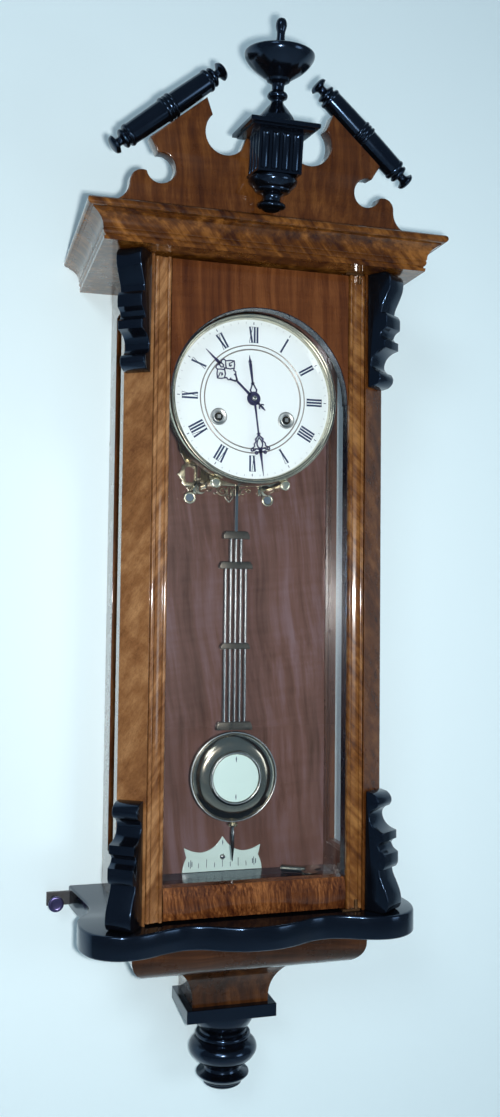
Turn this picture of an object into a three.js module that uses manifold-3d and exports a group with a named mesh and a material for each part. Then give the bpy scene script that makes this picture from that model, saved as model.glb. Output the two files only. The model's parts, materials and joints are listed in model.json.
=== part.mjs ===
// Spring driven wall regulator clock in a walnut case with ebonised turnings.
// Millimetres, +Z up, +X to the viewer's right, the front faces -Y.
// The origin lies on the wall plane, straight behind the arbor of the hands.

import * as THREE from 'three';
import { mergeVertices } from 'three/addons/utils/BufferGeometryUtils.js';
import Module from 'manifold-3d';

const wasm = await Module();
wasm.setup();

// Case, seen from the front
const caseHalfWidth = 136;
const caseDepth = 157; // wall to the front of the door
const soffitHeight = 131; // underside of the cornice above the hands
const shelfDrop = 514; // top of the base shelf below the hands
const doorHalfWidth = 110;
const cantDepth = 18; // how far the canted corners run back
const postReturn = 19; // plain side face of a corner post
const postStopWidth = 6;
const sideInset = 8; // side panels stand inside the posts
const sideThickness = 10;
const backThickness = 24;
const floorThickness = 12;

// Openings in the side panels
const windowFrontMargin = 14;
const windowBackMargin = 14;
const windowTopMargin = 36;
const windowBottomMargin = 44;
const paneThickness = 3;
const rebateWidth = 5;

// Door
const stileWidth = 17.5;
const doorThickness = 20;
const doorEndGap = 2.6;
const doorRearGap = 1.6;
const spandrelRecess = 3;
const archCentreDrop = 5;
const archReveal = 1;
const spandrelTopRail = 16;
const railHeight = 31;
const railCrown = 5;
const hingePinInset = 6; // from the outer edge of the door
const hingePinSetback = 2.5; // from the front of the door
const hingePinRadius = 2.4;
const hingePinLength = 9;
const hingePlateThickness = 2.2;
const hingePlateLength = 30;
const hingePlateWidth = 7;

// Cornice and crest
const corniceHeight = 34;
const corniceSideReach = 46;
const corniceFrontReach = 43;
const crestLean = 9; // degrees, the crest tips forward
const crestSetback = 150; // wall to the middle of the crest board
const crestThickness = 20;
const crestHalfWidth = 157;
const crestPeak = 140;
const balusterRadius = 12.6;
const balusterLength = 138;
const balusterInnerX = 48;
const balusterInnerZ = 150;
const balusterSlope = 39; // degrees
const pedestalHalfWidth = 22;
const pedestalHeight = 39;
const pedestalBottom = 46.3;
const pedestalForward = 28;
const capHalfWidth = 34.5;
const capHeight = 7.6;
const pendantRadius = 24.3;
const pendantLength = 33;
const urnRadius = 34;
const urnHeight = 102.6;
const fluteCount = 4;
const fluteRadius = 4;

// Base
const shelfHalfWidth = 170;
const shelfDepth = 183;
const shelfThickness = 23;
const cushionHalfWidth = 120;
const cushionDepth = 146;
const cushionHeight = 36;
const cushionRound = 24;
const tailTopHalfWidth = 77;
const tailTopDepth = 104;
const tailBottomHalfWidth = 41;
const tailBottomDepth = 66;
const tailHeight = 57;
const blockHalfWidth = 48.4;
const blockDepth = 74;
const blockHeight = 13.5;
const dropRadius = 36.5;
const dropHeight = 81;

// Scroll brackets on the canted corners
const scrollLength = 117;
const scrollReach = 27.4;
const scrollThickness = 26;

// Steady screws and wall hanger
const steadyX = 179;
const steadyDrop = 12.5; // below the shelf top
const steadyBarThickness = 4;
const steadyBarHeight = 14;
const steadyKnobRadius = 8;
const steadyScrewRadius = 3;
const steadyScrewLength = 26;
const hangerHalfWidth = 20;
const hangerHeight = 44;
const hangerThickness = 3;
const hangerDepth = 14; // pocket behind the plate for the hook
const hangerTop = 118;
const hangerHoleRadius = 6;
const hangerSlotHalfWidth = 3;
const hangerSlotLength = 14;

// Dial and hands
const bezelRadius = 89;
const bezelInnerRadius = 82;
const bezelHeight = 16.4;
const dialFront = 124; // wall to the face of the dial
const dialThickness = 2;
const dialRecessRadius = 54;
const dialRecess = 0.8;
const dialFootRadius = 2;
const dialFootX = 38;
const dialFootZ = 42;
const windingHoleRadius = 5.5;
const centreHoleRadius = 5;
const hourHandLength = 70;
const minuteHandLength = 80;
const minuteTailLength = 44;
const hourTailLength = 16;
const handThickness = 0.8;
const hourHandSetting = -46.9; // degrees clockwise from twelve
const minuteHandSetting = 172.4;

// Movement
const plateHalfWidth = 66;
const plateCorner = 16;
const plateTop = 66;
const plateBottom = 64;
const plateThickness = 2;
const frontPlateFront = 112;
const backPlateRear = 74;
const pillarRadius = 3.5;
const pillarX = 54;
const pillarTopZ = 48;
const pillarBottomZ = -59;
const legWidth = 10;
const legBottom = 82.7;
const pivotRadius = 0.7;
const pivotClearance = 0.3;
const arborRadius = 1.5;
const fineArborRadius = 1;
const windingX = 36;
const windingDrop = 20;
const windingSquare = 3.6;
const barrelRadius = 24;
const barrelLength = 16;
const wheelThickness = 1.5;
const greatWheelTeeth = 72;
const centrePinionLeaves = 8;
const centreWheelTeeth = 64;
const thirdPinionLeaves = 8;
const thirdWheelTeeth = 60;
const escapePinionLeaves = 6;
const escapeWheelTeeth = 34;
const escapeRadius = 13;
const cannonLeaves = 12;
const minuteWheelTeeth = 36;
const minutePinionLeaves = 10;
const hourWheelTeeth = 40;
const motionDistance = 12;
const thirdArborX = -16;
const thirdArborZ = 21.8;
const escapeArborZ = 33.5;
const palletArborZ = 52;
const palletGap = 1.8;
const palletSpan = 120; // degrees of the escape wheel between the pallets
const minuteArborAngle = -45; // degrees from +X

// Pendulum
const pendulumSetback = 66; // wall to the plane of the pendulum
const rodWidth = 4;
const rodThickness = 2;
const gridRodRadius = 1.5;
const gridPitch = 5.6;
const barDepth = 6;
const gridTop = 133;
const gridTopBarHeight = 8;
const gridSecondBar = 165.5;
const gridSecondHeight = 7.5;
const gridMiddleBar = 252;
const gridMiddleHeight = 6.5;
const gridLowerBar = 335.5;
const gridLowerHeight = 8.5;
const bobRadius = 47.5;
const bobThickness = 22;
const bobDrop = 393;
const bobDiscRadius = 27;
const bobDiscThickness = 1.5;
const bobRingWidth = 3.4;
const nutRadius = 5.5;
const nutHeight = 4;
const pointerDrop = 482;
const pointerRadius = 1.9;

// Beat scale, key, bracket, gong and hammer
const scaleHalfWidth = 45;
const scaleHeight = 37;
const scaleThickness = 2;
const keyLength = 44;
const keyTubeRadius = 4;
const keySquare = 4.2;
const keyWingHalfWidth = 17;
const keyWingThickness = 2.5;
const bracketSetback = 34; // wall to the middle of the casting
const bracketThickness = 4;
const armX = 37;
const armTop = 83;
const armFront = 112.5;
const ringPendantX = 44.5;
const ringPendantDrop = 95.3;
const ringPendantRadius = 7;
const armRadius = 4;
const collarThickness = 2;
const endPlateX = 45.1; // middle of the windowed end plates
const endPlateHalf = 8.9;
const endPlateDrop = 70.3;
const endPlateHalfHeight = 12.8;
const windowHalf = 5;
const windowHalfHeight = 8.3;
const studX = 27.8;
const endStudRadius = 3.6;
const railDrop = 73;
const railDepth = 8;
const railRecess = 0.8;
const spiralX = 7.5;
const spiralDrop = 87;
const spiralRadius = 6.5;
const dropRingDrop = 94.5;
const dropRingRadius = 4.5;
const ringHoleRadius = 4.2;
const thumbHeadRadius = 5.6;
const thumbHeadLength = 8;
const gongSetback = 42;
const gongInnerRadius = 16;
const gongPitch = 9;
const gongTurns = 3;
const gongWire = 3;
const gongBlockHalf = 8;
const hammerArborX = -57;
const hammerArborZ = 26;
const hammerArm = 30;
const hammerHeadRadius = 5;
const hammerHeadLength = 12;

const gap = 0.3; // between pieces that meet
const over = 2; // overrun of a cut

// Places that follow from the sizes above
const doorFront = -caseDepth;
const doorBack = doorFront + doorThickness;
const cantBack = doorFront + cantDepth;
const postBack = cantBack + postReturn;
const postStop = doorBack + doorRearGap;
const sideOuter = caseHalfWidth - sideInset;
const sideInner = sideOuter - sideThickness;
const shelfTop = -shelfDrop;
const shelfBottom = shelfTop - shelfThickness;
const floorTop = shelfTop + floorThickness;
const corniceTop = soffitHeight + corniceHeight;
const steadyZ = shelfTop - steadyDrop;
const cushionBottom = shelfBottom - cushionHeight;
const tailBottom = cushionBottom - tailHeight;
const blockBottom = tailBottom - blockHeight;
const doorTop = soffitHeight - doorEndGap;
const doorBottom = shelfTop + doorEndGap;
const hingeX = doorHalfWidth - hingePinInset;
const hingeY = doorFront + hingePinSetback;
const stileInner = doorHalfWidth - stileWidth;
const frontPlateBack = -frontPlateFront + plateThickness;
const backPlateFront = -backPlateRear - plateThickness;
const greatDistance = Math.hypot(windingX, windingDrop);
const thirdDistance = Math.hypot(thirdArborX, thirdArborZ);
const escapeDistance = Math.hypot(thirdArborX, escapeArborZ - thirdArborZ);

const radians = Math.PI / 180;
const root = new THREE.Group();
root.name = 'wall_regulator_clock';

// Finishes
function finish(color, roughness, metalness) {
  return () => new THREE.MeshStandardMaterial({ color, roughness, metalness });
}
const walnut = finish(0x6f3a1c, 0.32, 0);
const walnutDark = finish(0x4a2417, 0.45, 0);
const ebonised = finish(0x0c0d12, 0.18, 0);
const brass = finish(0xc9a45a, 0.3, 1);
const steel = finish(0x8d9096, 0.35, 1);
const bluedSteel = finish(0x1d2440, 0.3, 0.9);
const enamel = finish(0xf2f2ea, 0.2, 0);
const iron = finish(0x3f4248, 0.5, 0.8);
function glass() {
  return new THREE.MeshStandardMaterial({
    color: 0xdfeaf0, roughness: 0.05, metalness: 0, transparent: true, opacity: 0.25,
  });
}

function add(name, geometry, material, parent = root) {
  const mesh = new THREE.Mesh(geometry, material());
  mesh.name = name;
  parent.add(mesh);
  return mesh;
}

// Solids
function welded(geometry) {
  const bare = geometry.index ? geometry.toNonIndexed() : geometry.clone();
  for (const name of Object.keys(bare.attributes)) {
    if (name !== 'position') bare.deleteAttribute(name);
  }
  return mergeVertices(bare, 1e-4);
}

function signedVolume(geometry) {
  const p = geometry.attributes.position;
  const index = geometry.index.array;
  const a = new THREE.Vector3();
  const b = new THREE.Vector3();
  const c = new THREE.Vector3();
  let sum = 0;
  for (let i = 0; i < index.length; i += 3) {
    a.fromBufferAttribute(p, index[i]);
    b.fromBufferAttribute(p, index[i + 1]);
    c.fromBufferAttribute(p, index[i + 2]);
    sum += a.dot(b.cross(c)) / 6;
  }
  return sum;
}

function outward(geometry) {
  const mesh = welded(geometry);
  const index = mesh.index.array;
  const kept = [];
  for (let i = 0; i < index.length; i += 3) {
    const [a, b, c] = [index[i], index[i + 1], index[i + 2]];
    if (a !== b && b !== c && c !== a) kept.push(a, b, c);
  }
  mesh.setIndex(kept);
  if (signedVolume(mesh) < 0) {
    const turned = mesh.index.array;
    for (let i = 0; i < turned.length; i += 3) {
      [turned[i + 1], turned[i + 2]] = [turned[i + 2], turned[i + 1]];
    }
  }
  return mesh;
}

function toSolid(geometry) {
  const mesh = outward(geometry);
  return new wasm.Manifold(new wasm.Mesh({
    numProp: 3,
    vertProperties: new Float32Array(mesh.attributes.position.array),
    triVerts: new Uint32Array(mesh.index.array),
  }));
}

function toGeometry(solid) {
  const mesh = solid.getMesh();
  const geometry = new THREE.BufferGeometry();
  geometry.setAttribute('position', new THREE.BufferAttribute(new Float32Array(mesh.vertProperties), 3));
  geometry.setIndex(new THREE.BufferAttribute(new Uint32Array(mesh.triVerts), 1));
  return geometry;
}

function cut(geometry, ...tools) {
  let solid = toSolid(geometry);
  for (const tool of tools) solid = solid.subtract(toSolid(tool));
  return toGeometry(solid);
}

function join(geometry, ...others) {
  let solid = toSolid(geometry);
  for (const other of others) solid = solid.add(toSolid(other));
  return toGeometry(solid);
}

function block(x0, x1, y0, y1, z0, z1) {
  const geometry = new THREE.BoxGeometry(Math.abs(x1 - x0), Math.abs(y1 - y0), Math.abs(z1 - z0));
  return geometry.translate((x0 + x1) / 2, (y0 + y1) / 2, (z0 + z1) / 2);
}

// A profile of [radius, height] points revolved about Z
function turned(profile, segments) {
  const points = profile.map(([r, h]) => new THREE.Vector2(r, h));
  return outward(new THREE.LatheGeometry(points, segments).rotateX(Math.PI / 2));
}

// A profile of [radius, y] points revolved about an axis along Y
function faced(profile, segments, x = 0, z = 0) {
  const points = profile.map(([r, y]) => new THREE.Vector2(r, y));
  return outward(new THREE.LatheGeometry(points, segments)).translate(x, 0, z);
}

function scaled(shares, radius, height) {
  return shares.map(([r, h]) => [r * radius, h * height]);
}

function polygon(points) {
  return new THREE.Shape(points.map(([x, y]) => new THREE.Vector2(x, y)));
}

// An outline in X and Z, from yFront back to yBack
function upright(shape, yFront, yBack, curveSegments = 12) {
  const options = { depth: yBack - yFront, bevelEnabled: false, curveSegments };
  return new THREE.ExtrudeGeometry(shape, options).rotateX(Math.PI / 2).translate(0, yBack, 0);
}

// An outline in X and Y, from z0 up to z1
function flat(shape, z0, z1, curveSegments = 12) {
  const options = { depth: z1 - z0, bevelEnabled: false, curveSegments };
  return new THREE.ExtrudeGeometry(shape, options).translate(0, 0, z0);
}

// Closed rings of points with the same count, joined and capped
function loft(rings) {
  const count = rings[0].length;
  const positions = rings.flat(2);
  const index = [];
  for (let i = 0; i + 1 < rings.length; i += 1) {
    for (let j = 0; j < count; j += 1) {
      const k = (j + 1) % count;
      const [a, b] = [i * count + j, i * count + k];
      index.push(a, b, a + count, b, b + count, a + count);
    }
  }
  const last = (rings.length - 1) * count;
  for (let j = 1; j + 1 < count; j += 1) {
    index.push(0, j + 1, j, last, last + j, last + j + 1);
  }
  const geometry = new THREE.BufferGeometry();
  geometry.setAttribute('position', new THREE.Float32BufferAttribute(positions, 3));
  geometry.setIndex(index);
  return outward(geometry);
}

// Levels of [half width, front y, z] of a box that stands against the wall
function wallLoft(levels) {
  return loft(levels.map(([half, front, z]) => [
    [-half, 0, z], [half, 0, z], [half, front, z], [-half, front, z],
  ]));
}

function mirrored(geometry) {
  return outward(geometry.clone().scale(-1, 1, 1));
}

function rod(radius, yFront, yBack, x = 0, z = 0, segments = 12) {
  return faced([[0, yFront], [radius, yFront], [radius, yBack], [0, yBack]], segments, x, z);
}

function column(radius, z0, z1, x = 0, y = 0, segments = 12) {
  return turned([[0, z0], [radius, z0], [radius, z1], [0, z1]], segments).translate(x, y, 0);
}

// Case
function hangerKeyhole(holeRadius, slotHalf, slotLength, centreZ) {
  const shape = new THREE.Shape();
  const start = Math.PI / 2 - Math.asin(slotHalf / holeRadius);
  shape.absarc(0, centreZ, holeRadius, Math.PI - start, start, false);
  shape.absarc(0, centreZ + slotLength, slotHalf, 0, Math.PI, false);
  return shape;
}
const hangerHoleZ = hangerTop - hangerHeight / 2 - hangerSlotLength / 2;

function backboard() {
  const board = block(-sideInner, sideInner, -backThickness, 0, shelfTop, soffitHeight);
  const recess = block(-hangerHalfWidth - gap, hangerHalfWidth + gap,
    -hangerThickness, over, hangerTop - hangerHeight - gap, hangerTop + gap);
  const pocketHalf = hangerHoleRadius + over;
  const pocket = block(-pocketHalf, pocketHalf, -hangerDepth, over,
    hangerHoleZ - pocketHalf, hangerHoleZ + hangerSlotLength + pocketHalf);
  return cut(board, recess, pocket);
}

function wallHanger() {
  const plate = block(-hangerHalfWidth, hangerHalfWidth, -hangerThickness + gap, 0,
    hangerTop - hangerHeight, hangerTop);
  const hole = hangerKeyhole(hangerHoleRadius, hangerSlotHalfWidth, hangerSlotLength, hangerHoleZ);
  return cut(plate, upright(hole, -hangerThickness - over, over, 6));
}

const windowFront = postBack + windowFrontMargin;
const windowBack = -backThickness - windowBackMargin;
const windowTop = soffitHeight - windowTopMargin;
const windowBottom = shelfTop + windowBottomMargin;

function sidePanel() {
  const panel = block(sideInner, sideOuter, postBack, 0, shelfTop, soffitHeight);
  const opening = block(sideInner - over, sideOuter + over, windowFront, windowBack,
    windowBottom, windowTop);
  const rebate = block(sideInner - over, sideInner + paneThickness + 2 * gap,
    windowFront - rebateWidth, windowBack + rebateWidth,
    windowBottom - rebateWidth, windowTop + rebateWidth);
  return cut(panel, opening, rebate);
}

function sideGlass() {
  const edge = rebateWidth - gap;
  return block(sideInner + gap, sideInner + gap + paneThickness, windowFront - edge,
    windowBack + edge, windowBottom - edge, windowTop + edge);
}

function cornerPost() {
  const inner = doorHalfWidth + 1.5 * gap;
  return flat(polygon([
    [inner, doorFront], [caseHalfWidth, cantBack], [caseHalfWidth, postBack],
    [doorHalfWidth - postStopWidth, postBack], [doorHalfWidth - postStopWidth, postStop],
    [inner, postStop],
  ]), shelfTop, soffitHeight);
}

function caseFloor() {
  const innerFront = doorHalfWidth - postStopWidth - gap;
  const front = doorBack + doorRearGap;
  return flat(polygon([
    [-innerFront, front], [innerFront, front], [innerFront, postBack], [sideInner, postBack],
    [sideInner, -backThickness], [-sideInner, -backThickness], [-sideInner, postBack],
    [-innerFront, postBack],
  ]), shelfTop, floorTop);
}

// Share of the reach and share of the height, from the soffit up
const corniceShares = [
  [0.61, 0], [0.62, 0.09], [0.585, 0.11], [0.585, 0.15], [0.62, 0.19], [0.635, 0.26],
  [0.63, 0.34], [0.65, 0.46], [0.7, 0.57], [0.78, 0.67], [0.88, 0.745], [0.88, 0.77],
  [0.965, 0.8], [1, 0.86], [1, 0.93], [0.98, 0.98], [0.95, 1],
];
function cornice() {
  return wallLoft(corniceShares.map(([reach, height]) => [
    caseHalfWidth + corniceSideReach * reach,
    doorFront - corniceFrontReach * reach,
    soffitHeight + corniceHeight * height,
  ]));
}

// Crest, drawn upright in its own leaning frame: y = 0 is the middle of the board
const crest = new THREE.Group();
crest.position.set(0, -crestSetback,
  corniceTop + Math.sin(crestLean * radians) * crestThickness / 2 + gap);
crest.rotation.x = crestLean * radians;
root.add(crest);

const slopeCos = Math.cos(balusterSlope * radians);
const slopeSin = Math.sin(balusterSlope * radians);
const boardRise = crestPeak - balusterRadius / slopeCos + balusterRadius;

// The straight edge that a baluster lies along, at distance x from the middle
function crestEdge(x) {
  const edgeX = balusterInnerX - (balusterRadius + 2 * gap) * slopeSin;
  const edgeZ = balusterInnerZ - (balusterRadius + 2 * gap) * slopeCos;
  return edgeZ - (x - edgeX) * slopeSin / slopeCos;
}

const footShares = { width: 1, rise: 0.085, innerX: 0.91, innerZ: 0.19 };
const knobShares = { x: 0.8, z: 0.23, radius: 0.075 };
const outerNotchShares = { x: 0.686, z: 0.337, radius: 0.0925 };
const innerNotchShares = { x: 0.279, z: 0.63, radius: 0.137 };
function crestBoard() {
  const w = crestHalfWidth;
  const h = crestPeak;
  const half = [];
  half.push([w, 0], [w, h * footShares.rise]);
  const knobX = w * knobShares.x;
  const knobZ = h * knobShares.z;
  const knobR = w * knobShares.radius;
  for (const share of [0.25, 0.5, 0.75, 1]) {
    const turn = share * Math.PI / 2;
    half.push([w - (w - knobX - knobR) * Math.sin(turn),
      h * footShares.rise + (knobZ - h * footShares.rise) * (1 - Math.cos(turn))]);
  }
  for (const angle of [30, 60, 90, 120, 145]) {
    half.push([knobX + knobR * Math.cos(angle * radians), knobZ + knobR * Math.sin(angle * radians)]);
  }
  const outerX = w * outerNotchShares.x;
  const outerZ = h * outerNotchShares.z;
  const outerR = w * outerNotchShares.radius;
  for (let angle = -35; angle >= -285; angle -= 25) {
    half.push([outerX + outerR * Math.cos(angle * radians), outerZ + outerR * Math.sin(angle * radians)]);
  }
  const shoulderX = outerX + outerR * knobR / outerR;
  half.push([shoulderX, crestEdge(shoulderX)]);
  const innerX = w * innerNotchShares.x;
  const innerZ = h * innerNotchShares.z;
  const innerR = w * innerNotchShares.radius;
  const lipX = innerX + innerR;
  half.push([lipX, crestEdge(lipX)]);
  for (let angle = 45; angle >= -135; angle -= 20) {
    half.push([innerX + innerR * Math.cos(angle * radians), innerZ + innerR * Math.sin(angle * radians)]);
  }
  const neckX = pedestalHalfWidth + gap;
  half.push([neckX, pedestalBottom + pedestalHeight * 0.8]);
  const other = half.map(([x, z]) => [-x, z]).reverse();
  return upright(polygon([...half, ...other]), -crestThickness / 2, crestThickness / 2);
}

const balusterShares = [
  [0, 0], [0.42, 0.004], [0.62, 0.018], [0.62, 0.038], [0.36, 0.052], [0.34, 0.07],
  [0.62, 0.085], [0.74, 0.105], [0.62, 0.125], [0.56, 0.135], [0.84, 0.15], [0.84, 0.18],
  [0.78, 0.19], [0.84, 0.3], [0.87, 0.44], [0.98, 0.45], [0.98, 0.475], [0.9, 0.485],
];
function baluster() {
  const mirroredShares = balusterShares.map(([r, h]) => [r, 1 - h]).reverse();
  const profile = scaled([...balusterShares, ...mirroredShares], balusterRadius, balusterLength);
  return turned(profile, 12);
}

function placeBaluster(name, side) {
  const mesh = add(name, baluster(), ebonised, crest);
  mesh.position.set(side * (balusterInnerX + balusterLength * slopeCos),
    0, balusterInnerZ - balusterLength * slopeSin);
  mesh.rotation.y = -side * (90 - balusterSlope) * radians;
}

function flutedOutline() {
  const points = [];
  const half = pedestalHalfWidth;
  const margin = (2 * half - fluteCount * 2 * fluteRadius) / (fluteCount + 1);
  for (let sideTurn = 0; sideTurn < 4; sideTurn += 1) {
    const turn = sideTurn * Math.PI / 2;
    const place = (u, v) => points.push([
      u * Math.cos(turn) - v * Math.sin(turn), u * Math.sin(turn) + v * Math.cos(turn),
    ]);
    place(-half, -half);
    for (let i = 0; i < fluteCount; i += 1) {
      const centre = -half + margin + fluteRadius + i * (2 * fluteRadius + margin);
      for (const angle of [180, 130, 90, 50, 0]) {
        place(centre + fluteRadius * Math.cos(angle * radians),
          -half + fluteRadius * 0.7 * Math.sin(angle * radians));
      }
    }
  }
  return polygon(points);
}

const capShares = [[0.72, 0], [0.86, 0.12], [0.88, 0.38], [0.99, 0.42], [1, 0.85], [0.96, 1]];
const pendantShares = [
  [0, -1], [0.28, -1], [0.36, -0.94], [0.54, -0.91], [0.585, -0.85], [0.55, -0.79], [0.37, -0.73],
  [0.36, -0.6], [0.42, -0.52], [0.7, -0.46], [0.75, -0.39], [0.84, -0.33], [0.97, -0.21],
  [1, -0.1], [0.97, 0], [0.6, 0.03], [0, 0.03],
];
function flutedPedestal() {
  const top = pedestalBottom + pedestalHeight;
  const body = flat(flutedOutline(), pedestalBottom, top + gap);
  const cap = loft(capShares.map(([share, height]) => {
    const half = capHalfWidth * share;
    const z = top + capHeight * height;
    return [[-half, -half, z], [half, -half, z], [half, half, z], [-half, half, z]];
  }));
  const pendant = turned(scaled(pendantShares, pendantRadius, pendantLength), 12)
    .translate(0, 0, pedestalBottom);
  const joined = join(body, cap, pendant).translate(0, -pedestalForward, 0);
  const boardFront = -crestThickness / 2 - gap;
  return cut(joined, block(-capHalfWidth - over, capHalfWidth + over, boardFront,
    capHalfWidth + over, 0, top - gap));
}

const urnShares = [
  [0, 0], [0.6, 0], [0.6, 0.02], [0.56, 0.05], [0.5, 0.093], [0.4, 0.136], [0.31, 0.174], [0.235, 0.2],
  [0.18, 0.222], [0.17, 0.24], [0.205, 0.254], [0.27, 0.269], [0.295, 0.289], [0.275, 0.31], [0.218, 0.326],
  [0.18, 0.338], [0.176, 0.37], [0.19, 0.395], [0.253, 0.41], [0.324, 0.421], [0.35, 0.44], [0.5, 0.478],
  [0.69, 0.527], [0.868, 0.58], [0.97, 0.624], [1, 0.644], [0.988, 0.656], [0.91, 0.669], [0.7, 0.696],
  [0.41, 0.728], [0.2, 0.752], [0.13, 0.776], [0.115, 0.838], [0.124, 0.878], [0.142, 0.897],
  [0.159, 0.931], [0.147, 0.965], [0.094, 0.992], [0, 1],
];
function urnFinial() {
  return turned(scaled(urnShares, urnRadius, urnHeight), 18)
    .translate(0, -pedestalForward, pedestalBottom + pedestalHeight + capHeight + gap);
}

// Base
const shelfShares = [
  [0.96, 0], [0.945, 0.12], [0.915, 0.3], [0.9, 0.43], [0.925, 0.55], [0.985, 0.63],
  [1, 0.7], [0.995, 0.8], [0.95, 0.9], [0.86, 0.965], [0.76, 0.985], [0.64, 0.965],
  [0.52, 0.92], [0.42, 0.9], [0.32, 0.915], [0.2, 0.965], [0.08, 0.995],
];
function baseShelf() {
  const right = shelfShares.map(([x, y]) => [x * shelfHalfWidth, -y * shelfDepth]);
  const left = right.map(([x, y]) => [-x, y]).reverse();
  const curve = new THREE.CatmullRomCurve3(
    [...right, ...left].map(([x, y]) => new THREE.Vector3(x, y, 0)), false, 'centripetal');
  const outline = curve.getPoints(60).map(({ x, y }) => [x, y]);
  const half = shelfHalfWidth + over;
  const groove = block(-half, half, -steadyBarThickness - gap, over,
    steadyZ - steadyBarHeight / 2 - gap, steadyZ + steadyBarHeight / 2 + gap);
  return cut(flat(polygon(outline), shelfBottom, shelfTop), groove);
}

function baseCushion() {
  const levels = [[cushionHalfWidth, -cushionDepth, shelfBottom]];
  for (const angle of [0, 22.5, 45, 67.5, 84]) {
    const inset = cushionRound * (1 - Math.cos(angle * radians));
    levels.push([cushionHalfWidth - inset, -cushionDepth + inset,
      shelfBottom - (cushionHeight - cushionRound) - cushionRound * Math.sin(angle * radians)]);
  }
  const bottomInset = cushionRound;
  levels.push([cushionHalfWidth - bottomInset, -cushionDepth + bottomInset, cushionBottom]);
  return wallLoft(levels);
}

function tailPedestal() {
  const levels = [];
  for (const share of [0, 0.2, 0.4, 0.55, 0.7, 0.82, 0.92, 1]) {
    const flare = share ** 2.6;
    levels.push([
      tailBottomHalfWidth + (tailTopHalfWidth - tailBottomHalfWidth) * flare,
      -tailBottomDepth - (tailTopDepth - tailBottomDepth) * flare,
      tailBottom + tailHeight * share,
    ]);
  }
  return wallLoft(levels);
}

function tailBlock() {
  return block(-blockHalfWidth, blockHalfWidth, -blockDepth, 0, blockBottom, tailBottom);
}

const dropShares = [
  [0, 0], [0.93, 0], [0.9, -0.08], [0.77, -0.19], [0.66, -0.256], [0.68, -0.275], [0.79, -0.294],
  [0.81, -0.322], [0.76, -0.35], [0.86, -0.386], [0.96, -0.423], [1, -0.468], [0.98, -0.53],
  [0.87, -0.605], [0.7, -0.67], [0.53, -0.712], [0.52, -0.745], [0.6, -0.785], [0.77, -0.812],
  [0.75, -0.85], [0.58, -0.89], [0.55, -0.925], [0.48, -0.957], [0.25, -0.99], [0, -1],
];
function dropFinial() {
  return turned(scaled(dropShares, dropRadius, dropHeight), 18)
    .translate(0, -blockDepth / 2, blockBottom);
}

// Scroll bracket, drawn with its thick end at height 0 and the post at reach 0
const scrollShares = [
  [0, 0], [0.76, 0], [0.94, 0.035], [1, 0.085], [0.96, 0.15], [0.8, 0.23], [0.65, 0.3],
  [0.6, 0.352], [0.78, 0.365], [0.86, 0.4], [0.86, 0.49], [0.66, 0.52], [0.57, 0.555],
  [0.66, 0.585], [0.785, 0.6], [0.785, 0.67], [0.5, 0.69], [0.3, 0.725], [0.19, 0.775],
  [0.19, 0.815], [0.3, 0.85], [0.5, 0.875], [0.57, 0.905], [0.55, 0.95], [0.38, 0.985],
  [0.12, 1], [0, 1],
];
function scrollBracket(name, side, top) {
  const up = top ? -1 : 1;
  const shape = polygon(scrollShares.map(([reach, along]) => [
    reach * scrollReach, up * along * scrollLength,
  ]));
  const options = { depth: scrollThickness, bevelEnabled: false };
  const geometry = outward(new THREE.ExtrudeGeometry(shape, options)
    .translate(0, 0, -scrollThickness / 2).rotateX(Math.PI / 2));
  const mesh = add(name, geometry, ebonised);
  const cantWidth = caseHalfWidth - doorHalfWidth;
  const cantAngle = Math.atan2(cantDepth, cantWidth);
  const [midX, midY] = [caseHalfWidth - cantWidth / 2, (doorFront + cantBack) / 2];
  const outX = Math.sin(cantAngle);
  const outY = -Math.cos(cantAngle);
  const end = top ? soffitHeight - gap : shelfTop + gap;
  mesh.position.set(side * (midX + outX * 2 * gap), midY + outY * 2 * gap, end);
  mesh.rotation.z = side > 0 ? cantAngle - Math.PI / 2 : -cantAngle - Math.PI / 2;
}

// Steady screws that press on the wall beside the shelf
function steadyBar() {
  const half = steadyX + steadyKnobRadius;
  const bar = block(-half, half, -steadyBarThickness, 0,
    steadyZ - steadyBarHeight / 2, steadyZ + steadyBarHeight / 2);
  const hole = steadyScrewRadius + gap;
  return cut(bar, rod(hole, -steadyBarThickness - over, over, steadyX, steadyZ),
    rod(hole, -steadyBarThickness - over, over, -steadyX, steadyZ));
}

function steadyScrew(side) {
  const headBack = -steadyScrewLength + steadyKnobRadius / 2;
  return faced([
    [0, 0], [steadyScrewRadius * 0.4, 0], [steadyScrewRadius, -steadyScrewRadius],
    [steadyScrewRadius, headBack], [steadyKnobRadius * 0.8, headBack],
    [steadyKnobRadius, headBack - steadyKnobRadius * 0.1],
    [steadyKnobRadius, -steadyScrewLength + steadyKnobRadius * 0.1],
    [steadyKnobRadius * 0.8, -steadyScrewLength], [0, -steadyScrewLength],
  ], 20, side * steadyX, steadyZ);
}

// Door
const glassFront = doorBack - gap - paneThickness;
const rebateFront = glassFront - gap;
const glassTop = doorTop - spandrelTopRail - gap;
const glassBottom = doorBottom + railHeight - rebateWidth + gap;

// Across the stile from its inner edge and back from its front
const stileShares = [
  [0, 0.42], [0.04, 0.22], [0.1, 0.08], [0.17, 0], [0.25, 0.03], [0.31, 0.1], [0.5, 0.14],
  [0.69, 0.1], [0.75, 0.03], [0.83, 0], [0.93, 0.03], [0.985, 0.13], [1, 0.3],
];
function doorStile() {
  const front = stileShares.map(([x, y]) => [
    stileInner + stileWidth * x, doorFront + doorThickness * 0.5 * y,
  ]);
  const section = polygon([
    ...front, [doorHalfWidth, doorBack], [stileInner + rebateWidth, doorBack],
    [stileInner + rebateWidth, rebateFront], [stileInner, rebateFront],
  ]);
  return flat(section, doorBottom, doorTop);
}

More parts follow.
